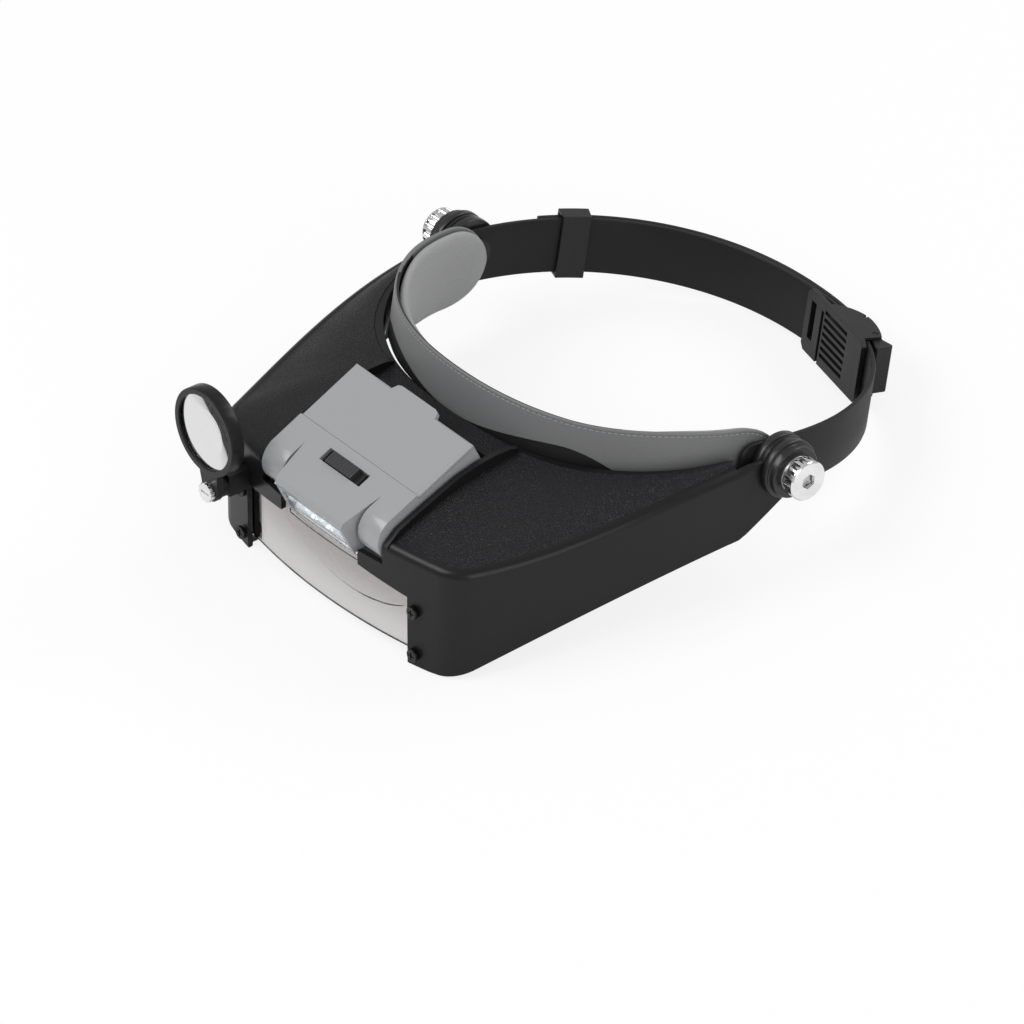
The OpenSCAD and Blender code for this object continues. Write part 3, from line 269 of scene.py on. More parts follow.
# %% Leather pebble
# Cells with soft tops and narrow creases, bent by a little noise so that no two are alike.
BEND_SCALE = 700
CREASE_WIDTH = 0.22
FUZZ_SCALE = 5200
FUZZ_HEIGHT = 0.25
pebble_inputs = {"Scale": 900, "Bend": 0.0006}
leather, l_in, l_out = effect_group("leather_pebble", pebble_inputs, ["Height", "Crease"])
where = coordinates(leather)
bend_noise = leather.nodes.new("ShaderNodeTexNoise")
bend_noise.inputs["Scale"].default_value = BEND_SCALE
leather.links.new(where, bend_noise.inputs["Vector"])
shift = leather.nodes.new("ShaderNodeVectorMath")
shift.operation = "MULTIPLY_ADD"
leather.links.new(bend_noise.outputs["Color"], shift.inputs[0])
leather.links.new(l_in.outputs["Bend"], shift.inputs[1])
leather.links.new(where, shift.inputs[2])
cells = leather.nodes.new("ShaderNodeTexVoronoi")
cells.feature = "DISTANCE_TO_EDGE"
leather.links.new(shift.outputs[0], cells.inputs["Vector"])
leather.links.new(l_in.outputs["Scale"], cells.inputs["Scale"])
dome = smooth_step(leather, cells.outputs["Distance"], 0.0, CREASE_WIDTH)
fuzz = noise_node(leather, FUZZ_SCALE, 2)
leather.links.new(math_node(leather, "MULTIPLY_ADD", fuzz, FUZZ_HEIGHT, dome), l_out.inputs["Height"])
leather.links.new(math_node(leather, "SUBTRACT", 1.0, dome), l_out.inputs["Crease"])
print("made", leather.name)

# %% Handling smudges
# Broad soft patches that are a little duller or shinier than the rest, and a few thin scuffs.
PATCH_FROM, PATCH_TO = 0.35, 0.7
SCUFF_FROM, SCUFF_TO = 0.62, 0.75
SCUFF_SCALE = 260
smudge, s_in, s_out = effect_group("handling_smudge", {"Scale": 45}, ["Patch", "Scuff"])
broad = noise_node(smudge, s_in.outputs["Scale"], 4)
smudge.links.new(smooth_step(smudge, broad, PATCH_FROM, PATCH_TO), s_out.inputs["Patch"])
stretch = smudge.nodes.new("ShaderNodeMapping")
stretch.inputs["Scale"].default_value = (1, 9, 9)
stretch.inputs["Rotation"].default_value = (0.3, 0.5, 0.7)
smudge.links.new(coordinates(smudge), stretch.inputs["Vector"])
lines = noise_node(smudge, SCUFF_SCALE, 3, stretch.outputs[0])
smudge.links.new(smooth_step(smudge, lines, SCUFF_FROM, SCUFF_TO), s_out.inputs["Scuff"])
print("made", smudge.name)

# %% [markdown]
# ## Finishes
# The real magnifier mixes leatherette, moulded plastics, metals, acrylic and glass. Each finish
# could be drawn up by itself, but most differ only in a few numbers, so one short function makes
# each family. What is the same all over a surface is set on the Principled shader, and the
# effects only vary its colour, roughness and normal.


# %% Material helpers
def new_material(name, roughness, **constants):
    made = bpy.data.materials.new(name)
    made.use_nodes = True
    shader = made.node_tree.nodes["Principled BSDF"]
    shader.inputs["Roughness"].default_value = roughness
    for label, value in constants.items():
        shader.inputs[label.replace("_", " ")].default_value = value
    return made, made.node_tree, shader


def placed(tree, group, scale):
    node = tree.nodes.new("ShaderNodeGroup")
    node.node_tree = group
    node.inputs["Scale"].default_value = scale
    return node


def tinted(tree, shader, mask, plain_colour, other_colour):
    mixed = tree.nodes.new("ShaderNodeMix")
    mixed.data_type = "RGBA"
    tree.links.new(mask, mixed.inputs["Factor"])
    mixed.inputs["A"].default_value = (*plain_colour, 1)
    mixed.inputs["B"].default_value = (*other_colour, 1)
    tree.links.new(mixed.outputs["Result"], shader.inputs["Base Color"])


def roughened(tree, shader, mask, spread, least):
    rough = math_node(tree, "MULTIPLY_ADD", mask, spread, least)
    tree.links.new(rough, shader.inputs["Roughness"])


def bumped(tree, shader, height, depth):
    bump = tree.nodes.new("ShaderNodeBump")
    bump.inputs["Distance"].default_value = depth
    bump.inputs["Strength"].default_value = 1
    tree.links.new(height, bump.inputs["Height"])
    tree.links.new(bump.outputs["Normal"], shader.inputs["Normal"])


def lighter(colour, factor):
    return tuple(min(1, channel * factor) for channel in colour)


# %% Moulded plastic
PLASTIC_SPREAD = 0.05


def moulded_plastic(name, colour, roughness, scale=2500, depth=0.00002, specular=0.5, fleck=1.25):
    made, tree, shader = new_material(name, roughness, Specular_IOR_Level=specular)
    grain_node = placed(tree, grain, scale)
    patch = placed(tree, smudge, 38).outputs["Patch"]
    tinted(tree, shader, grain_node.outputs["Fleck"], colour, lighter(colour, fleck))
    roughened(tree, shader, patch, PLASTIC_SPREAD, roughness - PLASTIC_SPREAD / 2)
    bumped(tree, shader, grain_node.outputs["Height"], depth)
    return made


# %% Leatherette and leather-grained plastic
LEATHER_SPREAD = 0.12


def pebbled(name, colour, roughness, scale, depth, crease_shade=0.6, specular=0.5):
    made, tree, shader = new_material(name, roughness, Specular_IOR_Level=specular)
    pebble = placed(tree, leather, scale)
    patch = placed(tree, smudge, 30).outputs["Patch"]
    tinted(tree, shader, pebble.outputs["Crease"], colour, lighter(colour, crease_shade))
    roughened(tree, shader, patch, LEATHER_SPREAD, roughness - LEATHER_SPREAD / 2)
    bumped(tree, shader, pebble.outputs["Height"], depth)
    return made


# %% Metal, clear acrylic and glass
METAL_SCUFF = 0.15
LENS_SCUFF = 0.03


def handled(tree, shader, colour, roughness, scale, shade, scuff):
    marks = placed(tree, smudge, scale)
    tinted(tree, shader, marks.outputs["Patch"], colour, lighter(colour, shade))
    roughened(tree, shader, marks.outputs["Scuff"], scuff, roughness)


def metal(name, colour, roughness):
    made, tree, shader = new_material(name, roughness, Metallic=1)
    handled(tree, shader, colour, roughness, 120, 0.9, METAL_SCUFF)
    return made


def clear(name, colour, roughness=0.01, ior=1.49):
    made, tree, shader = new_material(name, roughness, IOR=ior, Transmission_Weight=1)
    handled(tree, shader, colour, roughness, 60, 0.985, LENS_SCUFF)
    return made


# %% Tinted sheet with painted shade, and painted glow
# The front lens looks into a dark hollow. Its smoky tint is darkened near its top as painted
# shade and stays clearer below. The lamp's reflector and lights carry a painted glow for the
# reflections of the bright surroundings.
def shaded_clear(name, top_painted_shade_colour, low_colour, low, high):
    made = clear(name, top_painted_shade_colour)
    tree = made.node_tree
    split = tree.nodes.new("ShaderNodeSeparateXYZ")
    tree.links.new(coordinates(tree), split.inputs[0])
    # The tint darkens towards the top as painted shade.
    share = smooth_step(tree, split.outputs["Z"], low, high)
    tinted(tree, tree.nodes["Principled BSDF"], share, low_colour, top_painted_shade_colour)
    return made


# Adds emission as a painted glow: it stands for reflected light, not for a lamp that is on.
def painted_glow(made, colour, strength):
    shader = made.node_tree.nodes["Principled BSDF"]
    shader.inputs["Emission Color"].default_value = (*colour, 1)
    shader.inputs["Emission Strength"].default_value = strength
    return made


# %% Finishes of the headband
HARD_BLACK = (0.012, 0.012, 0.013)
STRAP_BLACK = (0.011, 0.011, 0.012)
FITTING_BLACK = (0.013, 0.013, 0.014)
FINISH = {
    "band_grey": pebbled("band_leatherette", (0.165, 0.167, 0.17), 0.48, 1900, 0.00001, 0.9),
    "pad_grey": pebbled("pad_leatherette", (0.33, 0.332, 0.336), 0.52, 1500, 0.00002, 0.88),
    "strap_black": moulded_plastic("strap_plastic", STRAP_BLACK, 0.5, 3200, 0.00001, 0.25),
    "fitting_black": moulded_plastic("fitting_plastic", FITTING_BLACK, 0.42, 2600, 0.00001, 0.33),
    "disc_black": moulded_plastic("disc_plastic", HARD_BLACK, 0.3, 3000, 0.00001),
    "knob_chrome": metal("bright_chrome", (0.86, 0.86, 0.86), 0.08),
    "steel": metal("plain_steel", (0.6, 0.6, 0.6), 0.28),
    "thread_grey": moulded_plastic("thread", (0.36, 0.36, 0.36), 0.7, 4000, 0.00002),
}
print("headband finishes:", len(FINISH))

# %% Finishes of the visor
VISOR_BLACK = (0.0075, 0.0075, 0.0085)
ROOF_BLACK = (0.0105, 0.0102, 0.0122)
# The front lens's top colour is its smoky tint darkened as painted shade.
SMOKY_PAINTED_SHADE, SMOKY_LOW = (0.4, 0.375, 0.375), (0.66, 0.65, 0.645)
FINISH.update({
    "visor_black": moulded_plastic("visor_plastic", VISOR_BLACK, 0.33, 3000, 0.000008, 0.27),
    "visor_grain": pebbled("visor_roof_grain", ROOF_BLACK, 0.45, 1000, 0.00014, 0.6, 0.26),
    "screw_black": metal("blackened_steel", (0.05, 0.05, 0.05), 0.35),
    "lens_clear": clear("lens_acrylic", (0.955, 0.95, 0.948)),
    "front_clear": shaded_clear("front_lens_acrylic", SMOKY_PAINTED_SHADE, SMOKY_LOW, 0.006, 0.027),
    "flip_clear": clear("flip_lens_acrylic", (0.97, 0.965, 0.965), 0.01, 1.1),
    "loupe_clear": clear("loupe_glass", (0.74, 0.74, 0.745), 0.01, 1.45),
    "loupe_black": moulded_plastic("loupe_plastic", HARD_BLACK, 0.28, 3000, 0.00001),
})
print("finishes so far:", len(FINISH))

# %% Finishes of the lamp
LAMP_GREY = (0.33, 0.337, 0.345)
led_resin = clear("led_resin", (0.97, 0.97, 0.93), 0.05, 1.5)
mirror = metal("metallised_plastic", (0.9, 0.93, 0.96), 0.12)
FINISH.update({
    "lamp_grey": moulded_plastic("lamp_plastic", LAMP_GREY, 0.25, 2800, 0.000004, 0.5, 1.03),
    "switch_black": moulded_plastic("switch_plastic", (0.03, 0.03, 0.032), 0.4),
    "switch_metal": metal("tinned_can", (0.62, 0.62, 0.6), 0.3),
    "board_green": moulded_plastic("board_laminate", (0.02, 0.1, 0.04), 0.4),
    # The LEDs and the reflector get a painted glow for reflections.
    "led_white": painted_glow(led_resin, (0.85, 0.95, 1.0), 1.2),
    "reflector_silver": painted_glow(mirror, (0.8, 0.92, 1.0), 0.35),
    "window_clear": clear("window_acrylic", (0.96, 0.97, 0.98), 0.02),
    "cell_wrap": moulded_plastic("cell_sleeve", (0.05, 0.08, 0.14), 0.25),
    "spring_steel": metal("nickel_plate", (0.7, 0.69, 0.66), 0.2),
})
print("finishes:", len(FINISH))

# %% [markdown]
# ## Rigid nodes with softened edges
# No moulded edge is a perfect corner. Each piece could be drawn again with round edges, but
# where a node's shape is already right three modifiers are enough: the split corners are
# welded, the flat triangles join into whole faces, and a narrow bevel catches the light.


# %% Softened edges
def weld_points(obj, distance):
    weld = obj.modifiers.new("weld", "WELD")
    weld.merge_threshold = distance


def round_edges(obj, width, segments, angle):
    edge = obj.modifiers.new("edge_round", "BEVEL")
    edge.width = width * MM
    edge.segments = segments
    edge.limit_method = "ANGLE"
    edge.angle_limit = math.radians(angle)
    edge.harden_normals = True
    edge.use_clamp_overlap = True


def soften(obj, width):
    weld_points(obj, 0.000001)
    flat = obj.modifiers.new("flat_faces", "DECIMATE")
    flat.decimate_type = "DISSOLVE"
    flat.angle_limit = math.radians(0.4)
    round_edges(obj, width, 3, 32)


def smooth(mesh, angle):
    mesh.polygons.foreach_set("use_smooth", [True] * len(mesh.polygons))
    mesh.set_sharp_from_angle(angle=math.radians(angle))


# %% Dress the nodes
# A few nodes look other than the rest of their slot.
NODE_SLOT = {s["node"]: s["material_slot"] for s in frame["record"]["subparts"]}
OTHER_FINISH = {
    "flip_lens": "flip_clear", "lever_pin": "fitting_black", "loupe_frame": "visor_black",
}
EDGE = {
    "strap_keeper": 0.35, "buckle_plate": 0.3, "buckle_housing": 0.4, "release_lever": 0.35,
    "lever_pin": 0.15, "pivot_bolts": 0.2, "friction_discs": 0.4, "pivot_collars": 0.5,
    "knob_washers": 0.15, "knob_left": 0.25, "knob_right": 0.25, "lens_screws": 0.15,
    "lens_clamps": 0.3, "flip_hinge_bar": 0.25, "loupe_bracket": 0.4, "loupe_frame": 0.4,
    "loupe_snap_ring": 0.15, "loupe_screw": 0.12, "lamp_case": 0.45, "lamp_base": 0.2,
    "battery_cover": 0.1, "lamp_hinge_pins": 0.2, "switch_button": 0.15,
    "flip_lens": 0.6, "lamp_window": 0.15,
}
for name, obj in frame["nodes"].items():
    obj.data.materials.clear()
    obj.data.materials.append(FINISH[OTHER_FINISH.get(name, NODE_SLOT[name])])
    if name in EDGE:
        soften(obj, EDGE[name])
print("softened", len(EDGE), "nodes")

# %% Black bolt heads
# The heads of the temple bolts show past the pad's ends, where the real object is black.
HEAD_INSIDE = 77.2
bolts = frame["nodes"]["pivot_bolts"].data
bolts.materials.append(FINISH["fitting_black"])
heads = [face for face in bolts.polygons if abs(face.center.x) < HEAD_INSIDE * MM]
for face in heads:
    face.material_index = 1
print("black faces on the bolt heads:", len(heads))

# %% [markdown]
# ## Building skins from sections
# The visor, the band, the pad and the straps are all long shapes whose cross-section changes
# slowly. Curves with a bevel keep one section all along, so each shape is made instead as a row
# of rings joined by four-sided faces, as a boat's planking runs over its frames.


# %% Closed mesh
def closed_mesh(name, points, faces, second_finish=()):
    mesh = bpy.data.meshes.new(name)
    mesh.from_pydata([tuple(p) for p in points], [], faces)
    for number in second_finish:
        mesh.polygons[number].material_index = 1
    mesh.validate()
    work = bmesh.new()
    work.from_mesh(mesh)
    bmesh.ops.recalc_face_normals(work, faces=work.faces)
    work.to_mesh(mesh)
    work.free()
    return add_object(name, mesh)


# %% Skin over rings
# Strip i joins the points i and i + 1 of every ring. Some strips may have the second finish.
def ring_faces(count, rings, start=0):
    faces = []
    for j in range(rings - 1):
        a, b = start + j * count, start + (j + 1) * count
        for i in range(count):
            k = (i + 1) % count
            faces.append((a + i, a + k, b + k, b + i))
    first_end = tuple(start + i for i in reversed(range(count)))
    return faces + [first_end, tuple(b + i for i in range(count))]


def skin(name, rings, matrix, second_strips=()):
    count = len(rings[0])
    points = [matrix @ (Vector(p) * MM) for ring in rings for p in ring]
    sides = range(count * (len(rings) - 1))
    second = [number for number in sides if number % count in second_strips]
    return closed_mesh(name, points, ring_faces(count, len(rings)), second)


def finish_piece(obj, body, slot, *nodes):
    obj.data.materials.append(FINISH[slot])
    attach(obj, body)
    if nodes:
        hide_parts(*nodes)


def tell_faces(obj):
    print(obj.name, "has", len(obj.data.polygons), "faces")


def mix(a, b, k):
    return a + (b - a) * k


def spread(first, last, steps):
    return [mix(first, last, i / steps) for i in range(steps + 1)]


def ease(k):
    k = min(1, max(0, k))
    return k * k * (3 - 2 * k)


# %% [markdown]
# ## The head loop's curve
# Seen from above, the loop round the head is a rounded oval, a little squarer than an ellipse.
# One formula gives a point on it, and a second its outward direction, so that every layer of
# pad, band and strap is the same curve at its own distance.

# %% Oval curve
LOOP_SQUARE = 2.17
STRAP_HALF_W = 79.2
STRAP_REAR = 80.4
STRAP_T = 1.6
BROW_HALF_W = STRAP_HALF_W - 0.4
BROW_FRONT = 71.5
BROW_T = 1.5


def signed_power(value, power):
    return math.copysign(abs(value) ** power, value)


def oval(a, b, angle, out=0.0):
    c, s = math.cos(angle), math.sin(angle)
    at = Vector((a * signed_power(c, 2 / LOOP_SQUARE), b * signed_power(s, 2 / LOOP_SQUARE)))
    n = Vector((signed_power(c, 2 - 2 / LOOP_SQUARE) / a, signed_power(s, 2 - 2 / LOOP_SQUARE) / b))
    return at + n.normalized() * out


print("band is", round(2 * (BROW_HALF_W - BROW_T)), "mm wide inside")

# %% [markdown]
# ## Brow band
# The band over the forehead is a stiff black carrier under a grey leatherette cover, with a
# rounded paddle at each temple. Draped cloth would wrinkle at the paddles, so the band is a
# skin. Its section holds a groove for the stitches below the top edge, and a small step above
# the lower edge, where the cover ends and the black shows: the carrier's edge, widened towards
# the middle as painted shade for the dark gap under the visor's rim.

# %% Brow band outline
BROW_TIP = 3.6
BROW_ROUND = 18
BROW_TOP = 12
BROW_BOTTOM = 17.5
BROW_MID_TOP = 9.8
BROW_MID_BOTTOM = 6.8
PADDLE_TO = 22
MIDDLE_FROM = 58
TIP_CLEAR = 0.02
TIP_RINGS = 10


def from_side(angle):
    degrees = math.degrees(angle)
    return min(degrees, 180 - degrees)


def middle_share(angle):
    return ease((from_side(angle) - PADDLE_TO) / (MIDDLE_FROM - PADDLE_TO))


def brow_angle(y):
    share_of_front = abs(y) / BROW_FRONT
    return math.copysign(math.asin(share_of_front ** (LOOP_SQUARE / 2)), -y)


def brow_point(angle, inward):
    p = oval(BROW_HALF_W, BROW_FRONT, angle, -inward)
    return p[0], -p[1]


def brow_edges(angle):
    k = middle_share(angle)
    return mix(BROW_TOP, BROW_MID_TOP, k), mix(-BROW_BOTTOM, -BROW_MID_BOTTOM, k)


def tip_share(angle, inset=0.0):
    y = brow_point(angle, 0)[1]
    centre = BROW_TIP - BROW_ROUND
    if y < centre:
        return 1.0
    return math.sqrt(max(0.0, 1 - ((y - centre) / (BROW_ROUND - inset)) ** 2))


def brow_angles(steps, inset=0.0):
    first = brow_angle(BROW_TIP - inset - TIP_CLEAR)
    centre = brow_angle(BROW_TIP - BROW_ROUND)
    turns = [math.radians(90 * i / TIP_RINGS) for i in range(TIP_RINGS)]
    tips = [mix(first, centre, 1 - math.cos(turn)) for turn in turns]
    middle = spread(centre, math.pi - centre, steps)
    return tips + middle + [math.pi - a for a in reversed(tips)]


# %% Rounded strip section
# Goes round a strip from its top: depth below the outer face, distance from the nearer edge,
# and which edge that is, 1 for the top and -1 for the bottom.
CORNER_TURN = (0, 30, 60, 90)


def strip_section(thickness, radius):
    turn = [math.radians(a) for a in CORNER_TURN]
    outer = [(radius * (1 - math.sin(a)), radius * (1 - math.cos(a))) for a in turn]
    inner = [(thickness - d, e) for d, e in outer[1:]]
    section = [(d, e, 1) for d, e in outer]
    section += [(d, e, -1) for d, e in reversed(outer)]
    section += [(d, e, -1) for d, e in inner]
    section += [(d, e, 1) for d, e in reversed(inner)]
    return section


# %% Brow band section
# The two points of the hem's step have 0 for their edge: they follow the line where the cover
# ends. The strips from there down are the black hem, part carrier and part painted shade, and
# the last four are the top edge's line.
BROW_EDGE_R = 0.6
STITCH_INSET = 1.35
GROOVE_DEPTH = 0.16
HEM_DEPTH = 0.16
groove = [(0.0, 0.85), (0.04, 1.1), (GROOVE_DEPTH, STITCH_INSET), (0.04, 1.6), (0.0, 1.85)]
hem_step = [(0.0, HEM_DEPTH), (HEM_DEPTH, 0.0)]
strip = strip_section(BROW_T, BROW_EDGE_R)
section = strip[:len(CORNER_TURN)]
section += [(d, e, 1) for d, e in groove]
section += [(d, e, 0) for d, e in hem_step]
HEM_FIRST = len(section)
section += strip[len(CORNER_TURN):]
HEM_AND_PAINTED_SHADE_STRIPS = range(HEM_FIRST - 1, HEM_FIRST + 3)
TOP_STRIPS = range(len(section) - 4, len(section))
print("band section has", len(section), "points")

# %% Brow band rings
HEM_LEAST = 0.7
HEM_PAINTED_SHADE_MORE = 6.4
HEM_FROM = 14
HEM_TO = 88
HEM_ROUND = 1.5
TIP_HALF = 3.5


# The black hem swells towards the middle as painted shade for the gap under the visor's rim.
def hem_and_painted_shade_height(angle):
    share = (from_side(angle) - HEM_FROM) / (HEM_TO - HEM_FROM)
    return HEM_LEAST + HEM_PAINTED_SHADE_MORE * math.sin(math.pi * min(1, max(0, share))) ** HEM_ROUND


def brow_ring(angle):
    top, low = brow_edges(angle)
    middle, half = (top + low) / 2, max(TIP_HALF, (top - low) / 2 * tip_share(angle))
    ring = []
    for place, (depth, edge, side) in enumerate(section):
        if HEM_FIRST <= place <= HEM_FIRST + 1:
            depth = HEM_DEPTH
        z = middle + side * (half - edge)
        if side == 0:
            z = middle - half + hem_and_painted_shade_height(angle) + edge
        ring.append((*brow_point(angle, depth), z))
    return ring


# %% Brow band skin
# The line along the top edge tapers out towards the temples, one strip after another.
LINE_FROM = 30
LINE_TAPER = 4
angles = brow_angles(120)
# The hem strips are painted black: the carrier's edge and painted shade.
brow = skin("brow_band_cover", [brow_ring(angle) for angle in angles], BAND, HEM_AND_PAINTED_SHADE_STRIPS)
for number in range(len(section) * (len(angles) - 1)):
    ring_number, place = divmod(number, len(section))
    line_from = LINE_FROM + LINE_TAPER * (place - TOP_STRIPS[0])
    if place in TOP_STRIPS and from_side(angles[ring_number]) >= line_from:
        brow.data.polygons[number].material_index = 1
smooth(brow.data, 40)
finish_piece(brow, "headband", "band_grey", "brow_band")
brow.data.materials.append(FINISH["strap_black"])
tell_faces(brow)

# %% [markdown]
# ## Stitches
# A seam runs along the band's top edge. A bump could fake it, but thread catches the light and
# throws shadows, so each stitch is a short sunken capsule. The loop below walks the seam's path
# and drops one stitch after another, with a gap where the thread dives under.

# %% Thread along a path
THREAD_R = 0.14
STITCH_LENGTH = 1.5
STITCH_GAP = 0.55
THREAD_SIDES = 6
AHEAD = 0.1
SIDE_HINT = Vector((0.3, 0.2, 1))
STITCH_SWELL = [(0.0, 0.25), (0.12, 0.8), (0.3, 1.0), (0.7, 1.0), (0.88, 0.8), (1.0, 0.25)]


def path_lengths(path):
    total = [0.0]
    for a, b in zip(path, path[1:]):
        total.append(total[-1] + (b - a).length)
    return total


def point_along(path, total, s):
    for i in range(len(path) - 1):
        if total[i + 1] >= s:
            k = (s - total[i]) / max(1e-9, total[i + 1] - total[i])
            return path[i].lerp(path[i + 1], k)
    return path[-1]


def stitch_points(path, total, s, matrix):
    points = []
    for k, swell in STITCH_SWELL:
        p = point_along(path, total, s + k * STITCH_LENGTH)
        ahead = (point_along(path, total, s + k * STITCH_LENGTH + AHEAD) - p).normalized()
        side_way = ahead.cross(SIDE_HINT).normalized()
        other = ahead.cross(side_way)
        for i in range(THREAD_SIDES):
            a = 2 * math.pi * i / THREAD_SIDES
            offset = side_way * math.cos(a) + other * math.sin(a)
            points.append(matrix @ ((p + offset * THREAD_R * swell) * MM))
    return points


def stitches(name, path, matrix):
    total = path_lengths(path)
    points, faces = [], []
    s = STITCH_GAP
    while s + STITCH_LENGTH < total[-1]:
        faces += ring_faces(THREAD_SIDES, len(STITCH_SWELL), len(points))
        points += stitch_points(path, total, s, matrix)
        s += STITCH_LENGTH + STITCH_GAP
    mesh = bpy.data.meshes.new(name)
    mesh.from_pydata([tuple(p) for p in points], [], faces)
    smooth(mesh, 60)
    return add_object(name, mesh)


# %% Seam along the brow band
THREAD_SUNK = 0.06


def seam_path():
    path = []
    for angle in brow_angles(160, STITCH_INSET):
        x, y = brow_point(angle, THREAD_SUNK)
        top, low = brow_edges(angle)
        middle, half = (top + low) / 2, (top - low) / 2 - STITCH_INSET
        path.append(Vector((x, y, middle + half * tip_share(angle, STITCH_INSET))))
    return path


thread = stitches("brow_band_stitches", seam_path(), BAND)
finish_piece(thread, "headband", "thread_grey")
tell_faces(thread)

# %% [markdown]
# ## Forehead pad
# The pad behind the band is thin foam in the same leatherette. A plain skin would look hard, so
# it starts slack, and a short cloth simulation with a little pressure inside fills it: it gets
# the slight unevenness of real foam. Its movement is capped, so it keeps clear of the band.

# %% Pad form
# The profile holds distance from the back and height, as shares of thickness and half height.
PAD_T = 4.4
PAD_DROP_SIDE = 0.3
PAD_DROP_MID = 2.4
PAD_GAP = 0.3
PAD_INSET = 0.3
PAD_TIP_HALF = 0.9
PAD_TIP_SWELL = 0.45
PAD_FULL_BY = 1.1
PAD_CROWN = [
    (1.0, 0.0), (0.98, 0.35), (0.93, 0.6), (0.82, 0.82),
    (0.62, 0.95), (0.35, 1.0), (0.1, 0.97), (0.04, 0.9),
]
PAD_BACK = [(0.0, share) for share in (0.6, 0.2, -0.2, -0.6)]
PAD_PROFILE = [(d, -h) for d, h in reversed(PAD_CROWN)] + PAD_CROWN[1:] + PAD_BACK


def pad_ring(angle):
    top, low = brow_edges(angle)
    top -= mix(PAD_DROP_SIDE, PAD_DROP_MID, middle_share(angle))
    share = tip_share(angle)
    middle, half = (top + low) / 2, max(PAD_TIP_HALF, ((top - low) / 2 - PAD_INSET) * share)
    swell = mix(PAD_TIP_SWELL, 1.0, ease(share * PAD_FULL_BY))
    ring = []
    for inward, height in PAD_PROFILE:
        depth = BROW_T + PAD_GAP + inward * (PAD_T - PAD_GAP) * swell
        ring.append((*brow_point(angle, depth), middle + height * half))
    return ring


pad = skin("forehead_pad_cushion", [pad_ring(angle) for angle in brow_angles(110)], BAND)
tell_faces(pad)

# %% Fill the pad
PAD_CAP = 0.5
FILL_FRAMES = 18
FILL_PRESSURE = 2.5
SHEET_STIFFNESS = 30


def fill_with_foam(obj, cap):
    before = [v.co.copy() for v in obj.data.vertices]
    cloth = obj.modifiers.new("cloth", "CLOTH")
    cloth.settings.use_pressure = True
    cloth.settings.uniform_pressure_force = FILL_PRESSURE
    cloth.settings.effector_weights.gravity = 0
    cloth.settings.tension_stiffness = SHEET_STIFFNESS
    cloth.settings.compression_stiffness = SHEET_STIFFNESS
    cloth.settings.bending_stiffness = 2
    cloth.point_cache.frame_start = 1
    cloth.point_cache.frame_end = FILL_FRAMES
    for number in range(1, FILL_FRAMES + 1):
        scene.frame_set(number)
    ready = obj.evaluated_get(bpy.context.evaluated_depsgraph_get())
    after = [v.co.copy() for v in ready.data.vertices]
    obj.modifiers.remove(cloth)
    moved = 0.0
    for vertex, a, b in zip(obj.data.vertices, before, after):
        step = b - a
        if step.length > cap:
            step = step.normalized() * cap
        vertex.co = a + step
        moved = max(moved, step.length)
    scene.frame_set(1)
    return moved


print("pad moved", round(fill_with_foam(pad, PAD_CAP * MM) / MM, 2), "mm at most")
smooth(pad.data, 80)
rounder = pad.modifiers.new("rounder", "SUBSURF")
rounder.levels = rounder.render_levels = 1
finish_piece(pad, "headband", "pad_grey", "forehead_pad")

# %% [markdown]
# ## Straps
# The two straps are plain moulded strips. A curve could bend them, but the left one steps
# outwards inside the buckle and runs over the right one as far as the keeper, so both are skins
# whose rings carry that step.

# %% Strap sizes
STRAP_TOP = 7.5
STRAP_BOTTOM = -12.5
STRAP_FRONT = 14.5
STRAP_CORNER = 5
STRAP_EDGE_R = 0.5
STRAP_TIP = 0.05
STRAIGHT_AT = [6, 3]
TAIL_STEP = STRAP_T + 0.3


def oval_angle(half_width, x):
    return math.acos((abs(x) / half_width) ** (LOOP_SQUARE / 2))


BUCKLE_X0 = 3.5
BUCKLE_LEN = 41
BUCKLE_HELD = 0.9
KEEPER_X = 71.9
BUCKLE_START = oval_angle(STRAP_HALF_W, BUCKLE_X0)
BUCKLE_END = oval_angle(STRAP_HALF_W, BUCKLE_X0 + BUCKLE_LEN * BUCKLE_HELD)
STEP_START = BUCKLE_END + math.radians(3)
STEP_END = BUCKLE_END + math.radians(17)
TAIL_END = math.pi - oval_angle(STRAP_HALF_W, KEEPER_X) + math.radians(9)
RIGHT_END = BUCKLE_START - math.radians(7)
print("left strap ends at", round(math.degrees(TAIL_END)), "degrees")


# %% Strap rings
def strap_stations():
    turns = [1 - math.cos(math.radians(10 * i)) for i in range(10)]
    corner = [STRAP_FRONT - STRAP_TIP - (STRAP_CORNER - STRAP_TIP) * turn for turn in turns]
    return corner + [STRAP_FRONT - STRAP_CORNER] + STRAIGHT_AT


def strap_z(edge, side, cut=0.0):
    return STRAP_TOP - cut - edge if side == 1 else STRAP_BOTTOM + cut + edge


def strap_rings(angles, offset_of, hand):
    section = strip_section(STRAP_T, STRAP_EDGE_R)
    rings = []
    for y in strap_stations():
        past = max(0.0, STRAP_CORNER - (STRAP_FRONT - y))
        cut = STRAP_CORNER - math.sqrt(max(0.0, STRAP_CORNER**2 - past**2))
        out = STRAP_HALF_W + STRAP_T
        rings.append([(hand * (out - d), -y, strap_z(e, side, cut)) for d, e, side in section])
    for angle in angles:
        out = offset_of(angle) + STRAP_T
        places = [oval(STRAP_HALF_W, STRAP_REAR, angle, out - d) for d, e, side in section]
        rings.append([(*p, strap_z(e, side)) for p, (d, e, side) in zip(places, section)])
    return rings


# %% Strap skins
def left_offset(angle):
    return TAIL_STEP * ease((angle - STEP_START) / (STEP_END - STEP_START))


